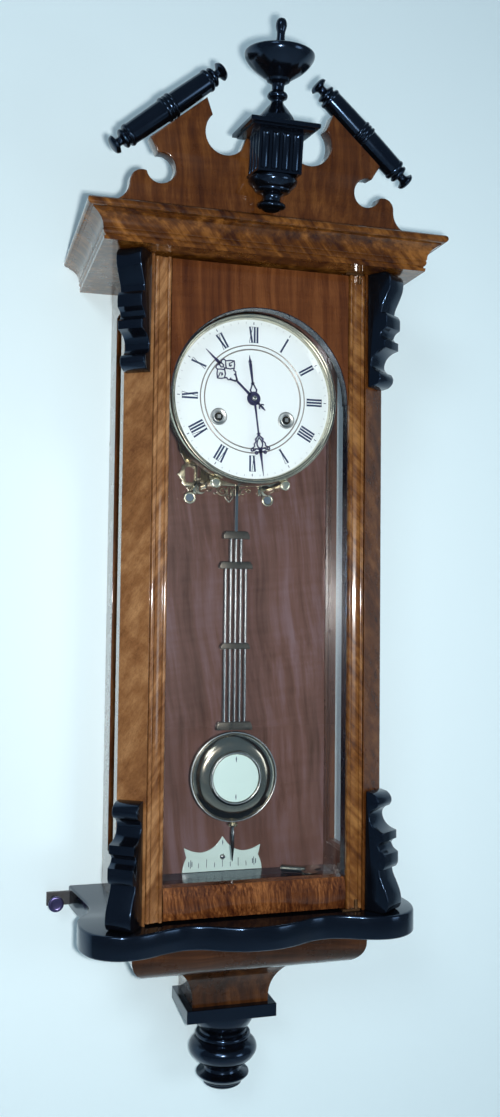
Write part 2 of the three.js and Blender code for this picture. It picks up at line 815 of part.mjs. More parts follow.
function rightStile() {
  const socket = hingePinRadius + gap;
  const depth = hingePinLength + gap;
  return cut(doorStile(),
    column(socket, doorTop - depth, doorTop + over, hingeX, hingeY),
    column(socket, doorBottom - over, doorBottom + depth, hingeX, hingeY));
}

function doorSpandrel() {
  const archRadius = stileInner - archReveal;
  const shape = new THREE.Shape();
  shape.moveTo(-stileInner, -archCentreDrop);
  shape.lineTo(-archRadius, -archCentreDrop);
  shape.absarc(0, -archCentreDrop, archRadius, Math.PI, 0, true);
  shape.lineTo(stileInner, -archCentreDrop);
  shape.lineTo(stileInner, doorTop);
  shape.lineTo(-stileInner, doorTop);
  shape.closePath();
  const panel = upright(shape, doorFront + spandrelRecess, rebateFront, 32);
  const rail = block(-stileInner, stileInner, rebateFront - over, doorBack,
    doorTop - spandrelTopRail, doorTop);
  return join(panel, rail);
}

function bottomRail() {
  const top = doorBottom + railHeight;
  const face = doorFront + spandrelRecess;
  const section = [];
  for (const share of [0, 0.15, 0.35, 0.55, 0.75, 0.9, 1]) {
    const bulge = railCrown * Math.sin(Math.PI * (0.1 + 0.8 * share));
    section.push([face + spandrelRecess - bulge, doorBottom + (railHeight) * share]);
  }
  section.push([rebateFront, top], [rebateFront, top - rebateWidth],
    [doorBack, top - rebateWidth], [doorBack, doorBottom]);
  const basis = new THREE.Matrix4().makeBasis(
    new THREE.Vector3(0, 1, 0), new THREE.Vector3(0, 0, 1), new THREE.Vector3(1, 0, 0));
  const options = { depth: 2 * stileInner, bevelEnabled: false };
  return outward(new THREE.ExtrudeGeometry(polygon(section), options)
    .applyMatrix4(basis).translate(-stileInner, 0, 0));
}

function doorGlass() {
  const half = stileInner + rebateWidth - gap;
  return block(-half, half, glassFront, glassFront + paneThickness, glassBottom, glassTop);
}

function hingePivot(up) {
  const face = up ? soffitHeight : shelfTop;
  const sign = up ? -1 : 1;
  const plateEnd = face + sign * hingePlateThickness;
  const pinEnd = plateEnd + sign * hingePinLength;
  const plate = block(hingeX - hingePlateLength / 2, hingeX + hingePlateWidth / 2,
    hingeY - hingePinSetback, hingeY + hingePlateWidth, Math.min(face, plateEnd), Math.max(face, plateEnd));
  const pin = column(hingePinRadius, Math.min(face, pinEnd), Math.max(face, pinEnd), hingeX, hingeY);
  return join(plate, pin);
}

// Dial
const bezelBack = -dialFront + bezelHeight / 2;
const bezelFront = bezelBack - bezelHeight;
function bezelRing() {
  const lip = -dialFront - gap;
  const band = bezelRadius - bezelInnerRadius;
  const groove = bezelRadius - band * 0.57;
  return faced([
    [groove, bezelBack], [bezelRadius, bezelBack], [bezelRadius, bezelFront + bezelHeight * 0.42],
    [bezelRadius - band * 0.1, bezelFront + bezelHeight * 0.16],
    [bezelRadius - band * 0.3, bezelFront], [bezelRadius - band * 0.5, bezelFront],
    [bezelRadius - band * 0.62, bezelFront + bezelHeight * 0.16],
    [bezelRadius - band * 0.8, bezelFront + bezelHeight * 0.2],
    [bezelInnerRadius, lip - bezelHeight * 0.1], [bezelInnerRadius, lip], [groove, lip],
    [groove, bezelBack],
  ], 44);
}

const dialRadius = bezelRadius - (bezelRadius - bezelInnerRadius) * 0.57 - gap;
function dialPlate() {
  const back = -dialFront + dialThickness;
  const disc = faced([
    [centreHoleRadius, -dialFront + dialRecess], [dialRecessRadius - dialRecess, -dialFront + dialRecess],
    [dialRecessRadius, -dialFront], [dialRadius, -dialFront], [dialRadius, back],
    [centreHoleRadius, back], [centreHoleRadius, -dialFront + dialRecess],
  ], 36);
  const feet = [];
  for (const side of [-1, 1]) {
    for (const up of [-1, 1]) {
      feet.push(rod(dialFootRadius, back - dialThickness / 2, -frontPlateFront - gap,
        side * dialFootX, up * dialFootZ, 8));
    }
  }
  const holes = [-1, 1].map((side) => rod(windingHoleRadius, -dialFront - over, back + over,
    side * windingX, -windingDrop, 16));
  return cut(join(disc, ...feet), ...holes);
}

// Hands point to twelve at first and are then turned to the stored time
function turnHand(geometry, clockwise) {
  return outward(geometry.rotateY(clockwise * radians));
}

const hourPipeRadius = 3.8;
const cannonRadius = 2.5;
const hourHandFront = -dialFront - 3;
const minuteHandFront = hourHandFront - 2.4;

// Width shares are of the ornament's half width, height shares of the hand's length
const hourHandShares = [
  [0.14, -1], [0.16, 0.4], [0.55, 0.45], [0.6, 0.5], [0.25, 0.53], [0.85, 0.58], [1, 0.63],
  [0.85, 0.68], [0.4, 0.7], [0.7, 0.75], [0.62, 0.8], [0.3, 0.83], [0.14, 0.88], [0.06, 1],
];
const minuteHandShares = [
  [0.18, -1], [0.16, 0.64], [0.5, 0.67], [0.6, 0.7], [0.3, 0.725], [0.85, 0.76], [1, 0.79],
  [0.85, 0.82], [0.35, 0.84], [0.5, 0.87], [0.4, 0.895], [0.16, 0.93], [0.06, 1],
];
const hourOrnamentHalfWidth = 8;
const minuteOrnamentHalfWidth = 5;
const handStemHalfWidth = 1.1;
function handOutline(shares, halfWidth, length, tail) {
  const right = shares.map(([x, z]) => [x * halfWidth, z < 0 ? -tail : z * length]);
  const left = right.map(([x, z]) => [-x, z]).reverse();
  return polygon([...right, ...left]);
}

function pierced(shape, centres, halfWidth, length, radiusShare) {
  for (const [x, z] of centres) {
    const hole = new THREE.Path();
    hole.absarc(x * halfWidth, z * length, radiusShare * halfWidth, 0, 2 * Math.PI, true);
    shape.holes.push(hole);
  }
  return shape;
}

const hourPierceShares = [[-0.42, 0.63], [0.42, 0.63], [0, 0.765]];
const minutePierceShares = [[-0.42, 0.79], [0.42, 0.79]];
function hourHand() {
  const outline = handOutline(hourHandShares, hourOrnamentHalfWidth, hourHandLength, hourTailLength);
  const shape = pierced(outline, hourPierceShares, hourOrnamentHalfWidth, hourHandLength, 0.26);
  const blade = upright(shape, hourHandFront, hourHandFront + handThickness, 3);
  const hub = rod(hourPipeRadius * 1.6, hourHandFront, hourHandFront + handThickness);
  const bore = rod(hourPipeRadius + gap, hourHandFront - over, hourHandFront + handThickness + over);
  return turnHand(cut(join(blade, hub), bore), hourHandSetting);
}

function minuteHand() {
  const outline = handOutline(minuteHandShares, minuteOrnamentHalfWidth, minuteHandLength,
    minuteTailLength);
  const shape = pierced(outline, minutePierceShares, minuteOrnamentHalfWidth, minuteHandLength, 0.26);
  const blade = upright(shape, minuteHandFront, minuteHandFront + handThickness, 3);
  const hub = rod(cannonRadius * 1.9, minuteHandFront, minuteHandFront + handThickness);
  const bore = rod(cannonRadius + gap, minuteHandFront - over, minuteHandFront + handThickness + over);
  return turnHand(cut(join(blade, hub), bore), minuteHandSetting);
}

// Toothed wheels. A wheel tooth is a point on a flank, a pinion leaf has a narrow flat.
function wheelOutline(teeth, pitchRadius, start, leaf) {
  const points = [];
  const moduleSize = 2 * pitchRadius / teeth;
  const tip = pitchRadius + moduleSize * (leaf ? 0.45 : 0.95);
  const foot = pitchRadius - moduleSize * (leaf ? 1.25 : 0.9);
  const step = 2 * Math.PI / teeth;
  const footHalf = step * 0.17;
  for (let i = 0; i < teeth; i += 1) {
    const centre = start + i * step;
    const marks = leaf
      ? [[foot, -footHalf], [tip, -footHalf * 0.55], [tip, footHalf * 0.55], [foot, footHalf]]
      : [[foot, -step / 2], [tip, 0]];
    for (const [r, turn] of marks) {
      points.push([r * Math.cos(centre + turn), r * Math.sin(centre + turn)]);
    }
  }
  return polygon(points);
}

function toothed(teeth, pitchRadius, start, leaf, yFront, yBack, x, z) {
  return upright(wheelOutline(teeth, pitchRadius, start, leaf), yFront, yBack).translate(x, 0, z);
}

// Angle of the first tooth of a wheel that meshes with one of known start angle
function meshStart(direction, drivingStart, drivingTeeth, drivenTeeth) {
  return direction + Math.PI - (drivingStart - direction) * drivingTeeth / drivenTeeth
    + Math.PI / drivenTeeth;
}

function pitchShare(distance, teeth, otherTeeth) {
  return distance * teeth / (teeth + otherTeeth);
}

const barrelBack = backPlateFront - 9;
const barrelFront = barrelBack - barrelLength;
const timeWheelBack = backPlateFront - 6;
const strikeWheelFront = barrelFront - wheelThickness - 1;
const centreWheelBack = frontPlateBack + 5.5;
const escapeWheelBack = -95.5;
const thirdWheelBack = -88.5;

const centreStart = 0;
const timeDirection = Math.atan2(-windingDrop, windingX);
const greatStart = meshStart(timeDirection, centreStart, centrePinionLeaves, greatWheelTeeth);
const thirdDirection = Math.atan2(thirdArborZ, thirdArborX);
const thirdStart = meshStart(thirdDirection, centreStart, centreWheelTeeth, thirdPinionLeaves);
const escapeDirection = Math.atan2(escapeArborZ - thirdArborZ, -thirdArborX);
const escapeStart = meshStart(escapeDirection, thirdStart, thirdWheelTeeth, escapePinionLeaves);

// An arbor with fine pivots at both ends, running between the plates
function arbor(x, z, radius = arborRadius) {
  const shoulder = 2 * gap;
  return faced([
    [0, -frontPlateFront + gap], [pivotRadius, -frontPlateFront + gap],
    [pivotRadius, frontPlateBack + shoulder], [radius, frontPlateBack + shoulder],
    [radius, backPlateFront - shoulder], [pivotRadius, backPlateFront - shoulder],
    [pivotRadius, -backPlateRear - gap], [0, -backPlateRear - gap],
  ], 10, x, z);
}

const winderRadius = windingSquare * 0.72;
function barrel(x, wheelFront, wheelBack, teeth, pitchRadius, start) {
  const drum = rod(barrelRadius, barrelFront, barrelBack, x, -windingDrop, 24);
  const neck = rod(winderRadius * 2.2, Math.min(barrelFront, wheelFront), Math.max(barrelBack, wheelBack),
    x, -windingDrop);
  const wheel = toothed(teeth, pitchRadius, start, false, wheelFront, wheelBack, x, -windingDrop);
  const bore = rod(winderRadius + gap, -frontPlateFront, -backPlateRear, x, -windingDrop);
  return cut(join(drum, neck, wheel), bore);
}

function windingArbor(side) {
  const x = side * windingX;
  const half = windingSquare / 2;
  const squareFront = -dialFront - bezelHeight * 0.1;
  const square = block(x - half, x + half, squareFront, -frontPlateFront - gap,
    -windingDrop - half, -windingDrop + half);
  const body = faced([
    [0, -frontPlateFront - over], [winderRadius, -frontPlateFront - over],
    [winderRadius, backPlateFront - 2 * gap], [pivotRadius * 1.8, backPlateFront - 2 * gap],
    [pivotRadius * 1.8, -backPlateRear - gap], [0, -backPlateRear - gap],
  ], 12, x, -windingDrop);
  return join(body, square);
}

function centreWheel() {
  const centrePitch = pitchShare(thirdDistance, centreWheelTeeth, thirdPinionLeaves);
  const pinionPitch = pitchShare(greatDistance, centrePinionLeaves, greatWheelTeeth);
  const wheel = toothed(centreWheelTeeth, centrePitch, centreStart, false,
    centreWheelBack - wheelThickness, centreWheelBack, 0, 0);
  const pinion = toothed(centrePinionLeaves, pinionPitch, centreStart, true,
    timeWheelBack - wheelThickness - 2, timeWheelBack + 2, 0, 0);
  const longArbor = rod(arborRadius * 0.8, minuteHandFront - 2, frontPlateBack + over);
  const hub = rod(arborRadius * 2, centreWheelBack - wheelThickness - 1, centreWheelBack + 2);
  return join(arbor(0, 0), wheel, pinion, longArbor, hub);
}

function thirdWheel() {
  const wheelPitch = pitchShare(escapeDistance, thirdWheelTeeth, escapePinionLeaves);
  const pinionPitch = pitchShare(thirdDistance, thirdPinionLeaves, centreWheelTeeth);
  const wheel = toothed(thirdWheelTeeth, wheelPitch, thirdStart, false,
    thirdWheelBack - wheelThickness, thirdWheelBack, thirdArborX, thirdArborZ);
  const pinion = toothed(thirdPinionLeaves, pinionPitch, thirdStart, true,
    centreWheelBack - wheelThickness - 1, centreWheelBack + 1, thirdArborX, thirdArborZ);
  return join(arbor(thirdArborX, thirdArborZ), wheel, pinion);
}

function escapeWheel() {
  const points = [];
  const step = 2 * Math.PI / escapeWheelTeeth;
  for (let i = 0; i < escapeWheelTeeth; i += 1) {
    for (const [share, turn] of [[0.82, 0.1], [1, 0.78], [1, 0.9], [0.82, 0.98]]) {
      const angle = escapeStart + (i + turn) * step;
      points.push([escapeRadius * share * Math.cos(angle), escapeRadius * share * Math.sin(angle)]);
    }
  }
  const wheel = upright(polygon(points), escapeWheelBack - wheelThickness, escapeWheelBack)
    .translate(0, 0, escapeArborZ);
  const pinionPitch = pitchShare(escapeDistance, escapePinionLeaves, thirdWheelTeeth);
  const pinion = toothed(escapePinionLeaves, pinionPitch, escapeStart, true,
    thirdWheelBack - wheelThickness - 1, thirdWheelBack + 1, 0, escapeArborZ);
  return join(arbor(0, escapeArborZ, fineArborRadius), wheel, pinion);
}

// Motion work between the front plate and the dial
const motionStart = 0;
const minuteArborX = motionDistance * Math.cos(minuteArborAngle * radians);
const minuteArborZ = motionDistance * Math.sin(minuteArborAngle * radians);
const motionDirection = minuteArborAngle * radians;
const minuteStart = meshStart(motionDirection, motionStart, cannonLeaves, minuteWheelTeeth);
const hourStart = meshStart(motionDirection + Math.PI, minuteStart, minutePinionLeaves, hourWheelTeeth);
const minuteWheelBack = -frontPlateFront - 1;
const hourWheelBack = minuteWheelBack - wheelThickness - 1.2;

function cannonPinion() {
  const pitch = pitchShare(motionDistance, cannonLeaves, minuteWheelTeeth);
  const leaves = toothed(cannonLeaves, pitch, motionStart, true,
    minuteWheelBack - wheelThickness, minuteWheelBack, 0, 0);
  const pipe = rod(cannonRadius, minuteHandFront, minuteWheelBack);
  const bore = rod(arborRadius * 0.8 + gap, minuteHandFront - over, minuteWheelBack + over);
  return cut(join(leaves, pipe), bore);
}

function minuteWheel() {
  const wheelPitch = pitchShare(motionDistance, minuteWheelTeeth, cannonLeaves);
  const pinionPitch = pitchShare(motionDistance, minutePinionLeaves, hourWheelTeeth);
  const wheel = toothed(minuteWheelTeeth, wheelPitch, minuteStart, false,
    minuteWheelBack - wheelThickness, minuteWheelBack, minuteArborX, minuteArborZ);
  const pinion = toothed(minutePinionLeaves, pinionPitch, minuteStart, true,
    hourWheelBack - wheelThickness - 0.5, minuteWheelBack - wheelThickness / 2, minuteArborX, minuteArborZ);
  const bore = rod(arborRadius * 0.6 + gap, -dialFront, -frontPlateFront, minuteArborX, minuteArborZ, 8);
  return cut(join(wheel, pinion), bore);
}

function hourWheel() {
  const pitch = pitchShare(motionDistance, hourWheelTeeth, minutePinionLeaves);
  const wheel = toothed(hourWheelTeeth, pitch, hourStart, false,
    hourWheelBack - wheelThickness, hourWheelBack, 0, 0);
  const pipe = rod(hourPipeRadius, hourHandFront, hourWheelBack);
  const bore = rod(cannonRadius + gap, hourHandFront - over, hourWheelBack + over);
  return cut(join(wheel, pipe), bore);
}

// Plates
const pivotHole = pivotRadius + pivotClearance;
function plate(yFront, yBack, holes) {
  const sheet = upright(polygon([
    [-plateHalfWidth + plateCorner, plateTop], [plateHalfWidth - plateCorner, plateTop],
    [plateHalfWidth, plateTop - plateCorner], [plateHalfWidth, -plateBottom + plateCorner],
    [plateHalfWidth - plateCorner / 2, -plateBottom], [-plateHalfWidth + plateCorner / 2, -plateBottom],
    [-plateHalfWidth, -plateBottom + plateCorner], [-plateHalfWidth, plateTop - plateCorner],
  ]), yFront, yBack);
  const legs = [-1, 1].map((side) => block(side * armX - legWidth / 2, side * armX + legWidth / 2,
    yFront, yBack, -legBottom, -plateBottom + over));
  const tools = holes.map(([x, z, r]) => rod(r, yFront - over, yBack + over, x, z, 10));
  return cut(join(sheet, ...legs), ...tools);
}

function arborHoles(windingHole, centreHole) {
  return [
    [0, 0, centreHole], [thirdArborX, thirdArborZ, pivotHole], [0, escapeArborZ, pivotHole],
    [0, palletArborZ, pivotHole], [windingX, -windingDrop, windingHole],
    [-windingX, -windingDrop, windingHole], [hammerArborX, hammerArborZ, pivotHole],
  ];
}

function frontPlate() {
  const sheet = plate(-frontPlateFront, frontPlateBack,
    arborHoles(winderRadius + gap, arborRadius * 0.8 + gap));
  const stud = rod(arborRadius * 0.6, hourWheelBack - wheelThickness - 0.5, frontPlateBack - gap,
    minuteArborX, minuteArborZ, 8);
  return join(sheet, stud);
}

function backPlate() {
  const sheet = plate(backPlateFront, -backPlateRear,
    arborHoles(pivotRadius * 1.8 + pivotClearance, pivotHole));
  const pillars = [];
  for (const side of [-1, 1]) {
    for (const z of [pillarTopZ, pillarBottomZ]) {
      pillars.push(faced([
        [0, frontPlateBack + gap], [pillarRadius, frontPlateBack + gap],
        [pillarRadius, frontPlateBack + pillarRadius], [pillarRadius * 0.65, frontPlateBack + pillarRadius * 2],
        [pillarRadius * 0.65, backPlateFront - pillarRadius * 2], [pillarRadius, backPlateFront - pillarRadius],
        [pillarRadius, backPlateFront + plateThickness / 2], [0, backPlateFront + plateThickness / 2],
      ], 8, side * pillarX, z));
    }
  }
  const cockHalf = 6;
  const cockBottom = palletArborZ + 6;
  const cock = block(-cockHalf, cockHalf, -backPlateRear - plateThickness / 2, -pendulumSetback + 5,
    cockBottom, plateTop);
  const spring = block(-0.25, 0.25, -pendulumSetback - 3, -pendulumSetback + 3,
    palletArborZ - 8, cockBottom + 1);
  return join(sheet, ...pillars, cock, spring);
}

// Anchor with its crutch behind the back plate
function anchorCrutch() {
  const span = palletSpan / 2 * radians;
  const inner = escapeRadius + palletGap;
  const palletX = inner * Math.sin(span);
  const palletZ = inner * Math.cos(span);
  const tipDrop = palletArborZ - escapeArborZ - palletZ;
  const armDepth = 2.2;
  const arms = new THREE.Shape();
  arms.moveTo(-palletX - armDepth, -tipDrop);
  arms.lineTo(-palletX, -tipDrop + armDepth);
  arms.lineTo(-palletX * 0.6, -tipDrop + armDepth * 1.8);
  arms.lineTo(0, -armDepth * 0.9);
  arms.lineTo(palletX * 0.6, -tipDrop + armDepth * 1.8);
  arms.lineTo(palletX, -tipDrop + armDepth);
  arms.lineTo(palletX + armDepth, -tipDrop);
  arms.lineTo(palletX + armDepth, -tipDrop + armDepth * 1.5);
  arms.lineTo(palletX * 0.5, armDepth);
  arms.lineTo(-palletX * 0.5, armDepth);
  arms.lineTo(-palletX - armDepth, -tipDrop + armDepth * 1.5);
  arms.closePath();
  const anchor = upright(arms, escapeWheelBack - wheelThickness, escapeWheelBack)
    .translate(0, 0, palletArborZ);
  const staff = faced([
    [0, -frontPlateFront + gap], [pivotRadius, -frontPlateFront + gap],
    [pivotRadius, frontPlateBack + 2 * gap], [arborRadius, frontPlateBack + 2 * gap],
    [arborRadius, backPlateFront - 2 * gap], [pivotRadius, backPlateFront - 2 * gap],
    [pivotRadius, crutchBack - 0.3], [0, crutchBack - 0.3],
  ], 10, 0, palletArborZ);
  const leg = block(-1.2, 1.2, crutchBack - 1.2, crutchBack, crutchPinZ - 2, palletArborZ + 2.4);
  const pin = rod(crutchPinRadius, crutchBack - 0.6, -pendulumSetback + rodThickness + 1, 0, crutchPinZ, 8);
  return join(anchor, staff, leg, pin);
}
const crutchBack = -backPlateRear + 2.2;
const crutchPinZ = 6;
const crutchPinRadius = 0.9;

// Pendulum
function pendulumFrame() {
  const y = -pendulumSetback;
  const topZ = palletArborZ - 8 - gap;
  const hookBlock = block(-rodWidth, rodWidth, y - 3, y + 3, topZ - 7, topZ);
  const strap = block(-rodWidth / 2, rodWidth / 2, y - rodThickness / 2, y + rodThickness / 2,
    -gridTop - over, topZ - over);
  const eye = block(-rodWidth, rodWidth, y - rodThickness / 2, y + rodThickness / 2,
    crutchPinZ - 6, crutchPinZ + 6);
  const slot = block(-crutchPinRadius - gap, crutchPinRadius + gap, y - over, y + over,
    crutchPinZ - 4, crutchPinZ + 4);
  const bar = (half, top, height) => block(-half, half, y - barDepth / 2, y + barDepth / 2,
    -top - height, -top);
  const bars = [
    bar(2.6 * gridPitch, gridTop, gridTopBarHeight),
    bar(3.2 * gridPitch, gridSecondBar, gridSecondHeight),
    bar(2.85 * gridPitch, gridMiddleBar, gridMiddleHeight),
    bar(3.5 * gridPitch, gridLowerBar, gridLowerHeight),
  ];
  const rods = [];
  for (let i = -2; i <= 2; i += 1) {
    const top = Math.abs(i) < 2 ? gridTop + over : gridSecondBar + over;
    rods.push(column(gridRodRadius, -gridLowerBar - over, -top, i * gridPitch, y, 8));
  }
  const pointer = turned([
    [0, -pointerDrop], [pointerRadius * 0.3, -pointerDrop + pointerRadius],
    [pointerRadius, -pointerDrop + 8 * pointerRadius], [pointerRadius, -nutBottom - pointerRadius * 4],
    [gridRodRadius, -nutBottom - pointerRadius * 3], [gridRodRadius, -gridLowerBar - over],
    [0, -gridLowerBar - over],
  ], 8).translate(0, y, 0);
  const frame = join(hookBlock, strap, eye, ...bars, ...rods, pointer);
  return cut(frame, slot);
}
const nutBottom = bobDrop + bobRadius + gap + nutHeight;

function ratingNut() {
  const top = -bobDrop - bobRadius - gap;
  return turned([
    [gridRodRadius + gap, top - nutHeight], [nutRadius * 0.7, top - nutHeight], [nutRadius, top - nutHeight * 0.7],
    [nutRadius, top - nutHeight * 0.4], [nutRadius * 0.6, top - nutHeight * 0.25],
    [nutRadius * 0.6, top], [gridRodRadius + gap, top], [gridRodRadius + gap, top - nutHeight],
  ], 16).translate(0, -pendulumSetback, 0);
}

function pendulumBob() {
  const half = bobThickness / 2;
  const front = -pendulumSetback - half;
  const ringOuter = bobDiscRadius + bobRingWidth;
  const body = faced([
    [0, front + bobDiscThickness + gap], [bobDiscRadius + gap, front + bobDiscThickness + gap],
    [bobDiscRadius + gap, front - 0.6], [ringOuter - 0.8, front - 0.8], [ringOuter, front + 0.4],
    [ringOuter + 1, front + 0.9], [bobRadius * 0.78, front + half * 0.12],
    [bobRadius * 0.9, front + half * 0.36], [bobRadius * 0.965, front + half * 0.62],
    [bobRadius * 0.965, front + half * 0.75], [bobRadius, front + half * 0.82],
    [bobRadius, front + half * 1.05], [bobRadius * 0.96, front + half * 1.2],
    [bobRadius * 0.8, front + half * 1.6], [bobRadius * 0.5, -pendulumSetback + half * 0.9],
    [0, -pendulumSetback + half],
  ], 30);
  const bore = gridRodRadius + gap;
  const bobTube = column(bore, -bobRadius - over, bobRadius + over, 0, -pendulumSetback, 10);
  return cut(body, bobTube).translate(0, 0, -bobDrop);
}

function bobDisc() {
  const front = -pendulumSetback - bobThickness / 2;
  return faced([
    [0, front], [bobDiscRadius - 0.4, front], [bobDiscRadius, front + 0.4],
    [bobDiscRadius, front + bobDiscThickness], [0, front + bobDiscThickness],
  ], 28, 0, -bobDrop);
}

// Beat scale on the backboard, standing on the floor
const scaleTopShares = [
  [0, 1], [0.1, 0.86], [0.22, 0.72], [0.38, 0.6], [0.55, 0.555], [0.75, 0.6], [0.96, 0.71],
];
const scaleSideShares = [[0.95, 0.55], [0.9, 0.42], [0.95, 0.3], [0.99, 0.15], [1, 0]];
function beatScale() {
  const right = [...scaleTopShares, ...scaleSideShares];
  const left = right.slice(1).map(([x, z]) => [-x, z]).reverse();
  const base = floorTop + gap;
  const outline = [...right, ...left].map(([x, z]) => [x * scaleHalfWidth, base + z * scaleHeight]);
  return upright(polygon(outline), -backThickness - scaleThickness, -backThickness);
}

// Winding key lying on the floor
const keyPlace = { x: 62, setback: 44, turn: 60 };
function windingKey() {
  const tube = column(keyTubeRadius, 0, keyLength * 0.6);
  const half = keySquare / 2;
  const socket = block(-half, half, -half, half, -over, keyLength * 0.35);
  const wing = new THREE.Shape();
  wing.moveTo(-keyTubeRadius, keyLength * 0.55);
  wing.quadraticCurveTo(-keyWingHalfWidth * 1.2, keyLength * 0.5, -keyWingHalfWidth, keyLength * 0.85);
  wing.quadraticCurveTo(-keyWingHalfWidth * 0.6, keyLength * 1.05, 0, keyLength * 0.8);
  wing.quadraticCurveTo(keyWingHalfWidth * 0.6, keyLength * 1.05, keyWingHalfWidth, keyLength * 0.85);
  wing.quadraticCurveTo(keyWingHalfWidth * 1.2, keyLength * 0.5, keyTubeRadius, keyLength * 0.55);
  wing.closePath();
  const wings = upright(wing, -keyWingThickness / 2, keyWingThickness / 2, 6);
  return join(cut(tube, socket), wings);
}

function placedKey() {
  return windingKey().rotateX(Math.PI / 2).rotateZ(keyPlace.turn * radians)
    .translate(keyPlace.x, -keyPlace.setback, floorTop + keyTubeRadius + gap);
}

// Brass bracket that carries the movement: two windowed end plates on a rail, turned arms that
// run forward to the thumb screws, ring pendants and a scroll in the middle
const endPlateShares = [
  [-0.7, 1], [0.7, 1], [1, 0.8], [1, -0.8], [0.7, -1], [-0.7, -1], [-1, -0.8], [-1, -0.36],
  [-1.62, 0], [-1, 0.36], [-1, 0.8],
];
const armCollars = [{ setback: 52, radius: 6.4 }, { setback: 60, radius: 5 }, { setback: 92, radius: 5 }];

function bracketEnd(side, front, back) {
  const plate = endPlateShares.map(([x, z]) => [
    side * (endPlateX - endPlateHalf * x),
    -endPlateDrop + endPlateHalfHeight * z,
  ]);
  return upright(polygon(plate), front, back);
}

function bracketArm(side, front) {
  const axisZ = -armTop - armRadius;
  const pieces = [
    rod(armRadius, -armFront, front + over, side * armX, axisZ, 12),
    faced([[0, -armFront - thumbHeadLength], [thumbHeadRadius * 0.8, -armFront - thumbHeadLength],
      [thumbHeadRadius, -armFront - thumbHeadLength * 0.85], [thumbHeadRadius, -armFront - thumbHeadLength * 0.4],
      [thumbHeadRadius * 0.4, -armFront - thumbHeadLength * 0.3], [thumbHeadRadius * 0.4, -armFront + over],
      [0, -armFront + over]], 16, side * armX, axisZ),
  ];
  for (const collar of armCollars) {
    pieces.push(rod(collar.radius, -collar.setback - collarThickness / 2, -collar.setback + collarThickness / 2,
      side * armX, axisZ - (collar.radius - armRadius) * 0.2, 14));
  }
  return pieces;
}

function movementBracket() {
  const front = -bracketSetback - bracketThickness / 2;
  const back = front + bracketThickness;
  const rail = block(-endPlateX, endPlateX, front + railRecess, back, -railDrop - railDepth, -railDrop);
  const pieces = [];
  const holes = [];
  for (const side of [-1, 1]) {
    pieces.push(bracketEnd(side, front, back));
    pieces.push(...bracketArm(side, front));
    pieces.push(block(side * armX - armRadius, side * armX + armRadius, front, back,
      -armTop - armRadius * 2, -railDrop - over));
    pieces.push(rod(endStudRadius, back - over, -backThickness, side * studX, -railDrop - railDepth / 2));
    pieces.push(rod(ringPendantRadius, front, back, side * ringPendantX, -ringPendantDrop, 16));
    pieces.push(block(side * ringPendantX - 2, side * ringPendantX + 2, front, back,
      -ringPendantDrop + ringHoleRadius, -endPlateDrop - endPlateHalfHeight + over));
    pieces.push(rod(spiralRadius, front + railRecess, back, side * spiralX, -spiralDrop, 14));
    holes.push(rod(ringHoleRadius, front - over, back + over, side * ringPendantX, -ringPendantDrop, 12));
    holes.push(block(side * endPlateX - windowHalf, side * endPlateX + windowHalf, front - over, back + over,
      -endPlateDrop - windowHalfHeight, -endPlateDrop + windowHalfHeight));
  }
  pieces.push(rod(dropRingRadius, front + railRecess, back, 0, -dropRingDrop, 12));
  return cut(join(rail, ...pieces), ...holes);
}

// Wire gong on the backboard, its inner end held in an iron block
function gongCoil() {
  const rings = [];
  const steps = gongTurns * 18;
  const half = gongWire / 2;
  for (let i = 0; i <= steps; i += 1) {
    const turns = i / 18;
    const angle = turns * 2 * Math.PI - Math.PI / 2;
    const radius = gongInnerRadius + gongPitch * turns;
    const at = (r, y) => [r * Math.cos(angle), y, r * Math.sin(angle)];
    rings.push([
      at(radius - half, -gongSetback - half), at(radius + half, -gongSetback - half),
      at(radius + half, -gongSetback + half), at(radius - half, -gongSetback + half),
    ]);
  }
  const coil = loft(rings);
  const post = block(-gongBlockHalf, gongBlockHalf, -gongSetback - half, -backThickness,
    -gongInnerRadius - half, -gongInnerRadius + gongBlockHalf * 1.4);
  return join(coil, post);
}

// Strike hammer on its arbor, standing clear of the gong
function strikeHammer() {
  const tailY = -gongSetback;
  const staff = faced([
    [0, -frontPlateFront + gap], [pivotRadius, -frontPlateFront + gap],
    [pivotRadius, frontPlateBack + 2 * gap], [arborRadius, frontPlateBack + 2 * gap],
    [arborRadius, backPlateFront - 2 * gap], [pivotRadius, backPlateFront - 2 * gap],
    [pivotRadius, tailY + 1], [0, tailY + 1],
  ], 10, hammerArborX, hammerArborZ);
  const arm = block(-1, 1, tailY - 1, tailY + 1, -1.5, hammerArm)
    .rotateY(-hammerTilt * radians).translate(hammerArborX, 0, hammerArborZ);
  const head = turned([
    [0, -hammerHeadLength / 2], [hammerHeadRadius * 0.8, -hammerHeadLength / 2],
    [hammerHeadRadius, -hammerHeadLength * 0.4], [hammerHeadRadius, hammerHeadLength * 0.4],
    [hammerHeadRadius * 0.8, hammerHeadLength / 2], [0, hammerHeadLength / 2],
  ], 12).rotateY(Math.PI / 2).translate(0, tailY, hammerArm).rotateY(-hammerTilt * radians)
    .translate(hammerArborX, 0, hammerArborZ);
  return join(staff, arm, head);
}
const hammerTilt = -171; // degrees, turned from upright

// Assembly
add('backboard', backboard(), walnutDark);
add('wall_hanger', wallHanger(), iron);
add('side_panel_right', sidePanel(), walnut);
add('side_panel_left', mirrored(sidePanel()), walnut);
add('side_glass_right', sideGlass(), glass);
add('side_glass_left', mirrored(sideGlass()), glass);
add('corner_post_right', cornerPost(), walnut);
add('corner_post_left', mirrored(cornerPost()), walnut);
add('case_floor', caseFloor(), walnutDark);
add('cornice', cornice(), walnut);

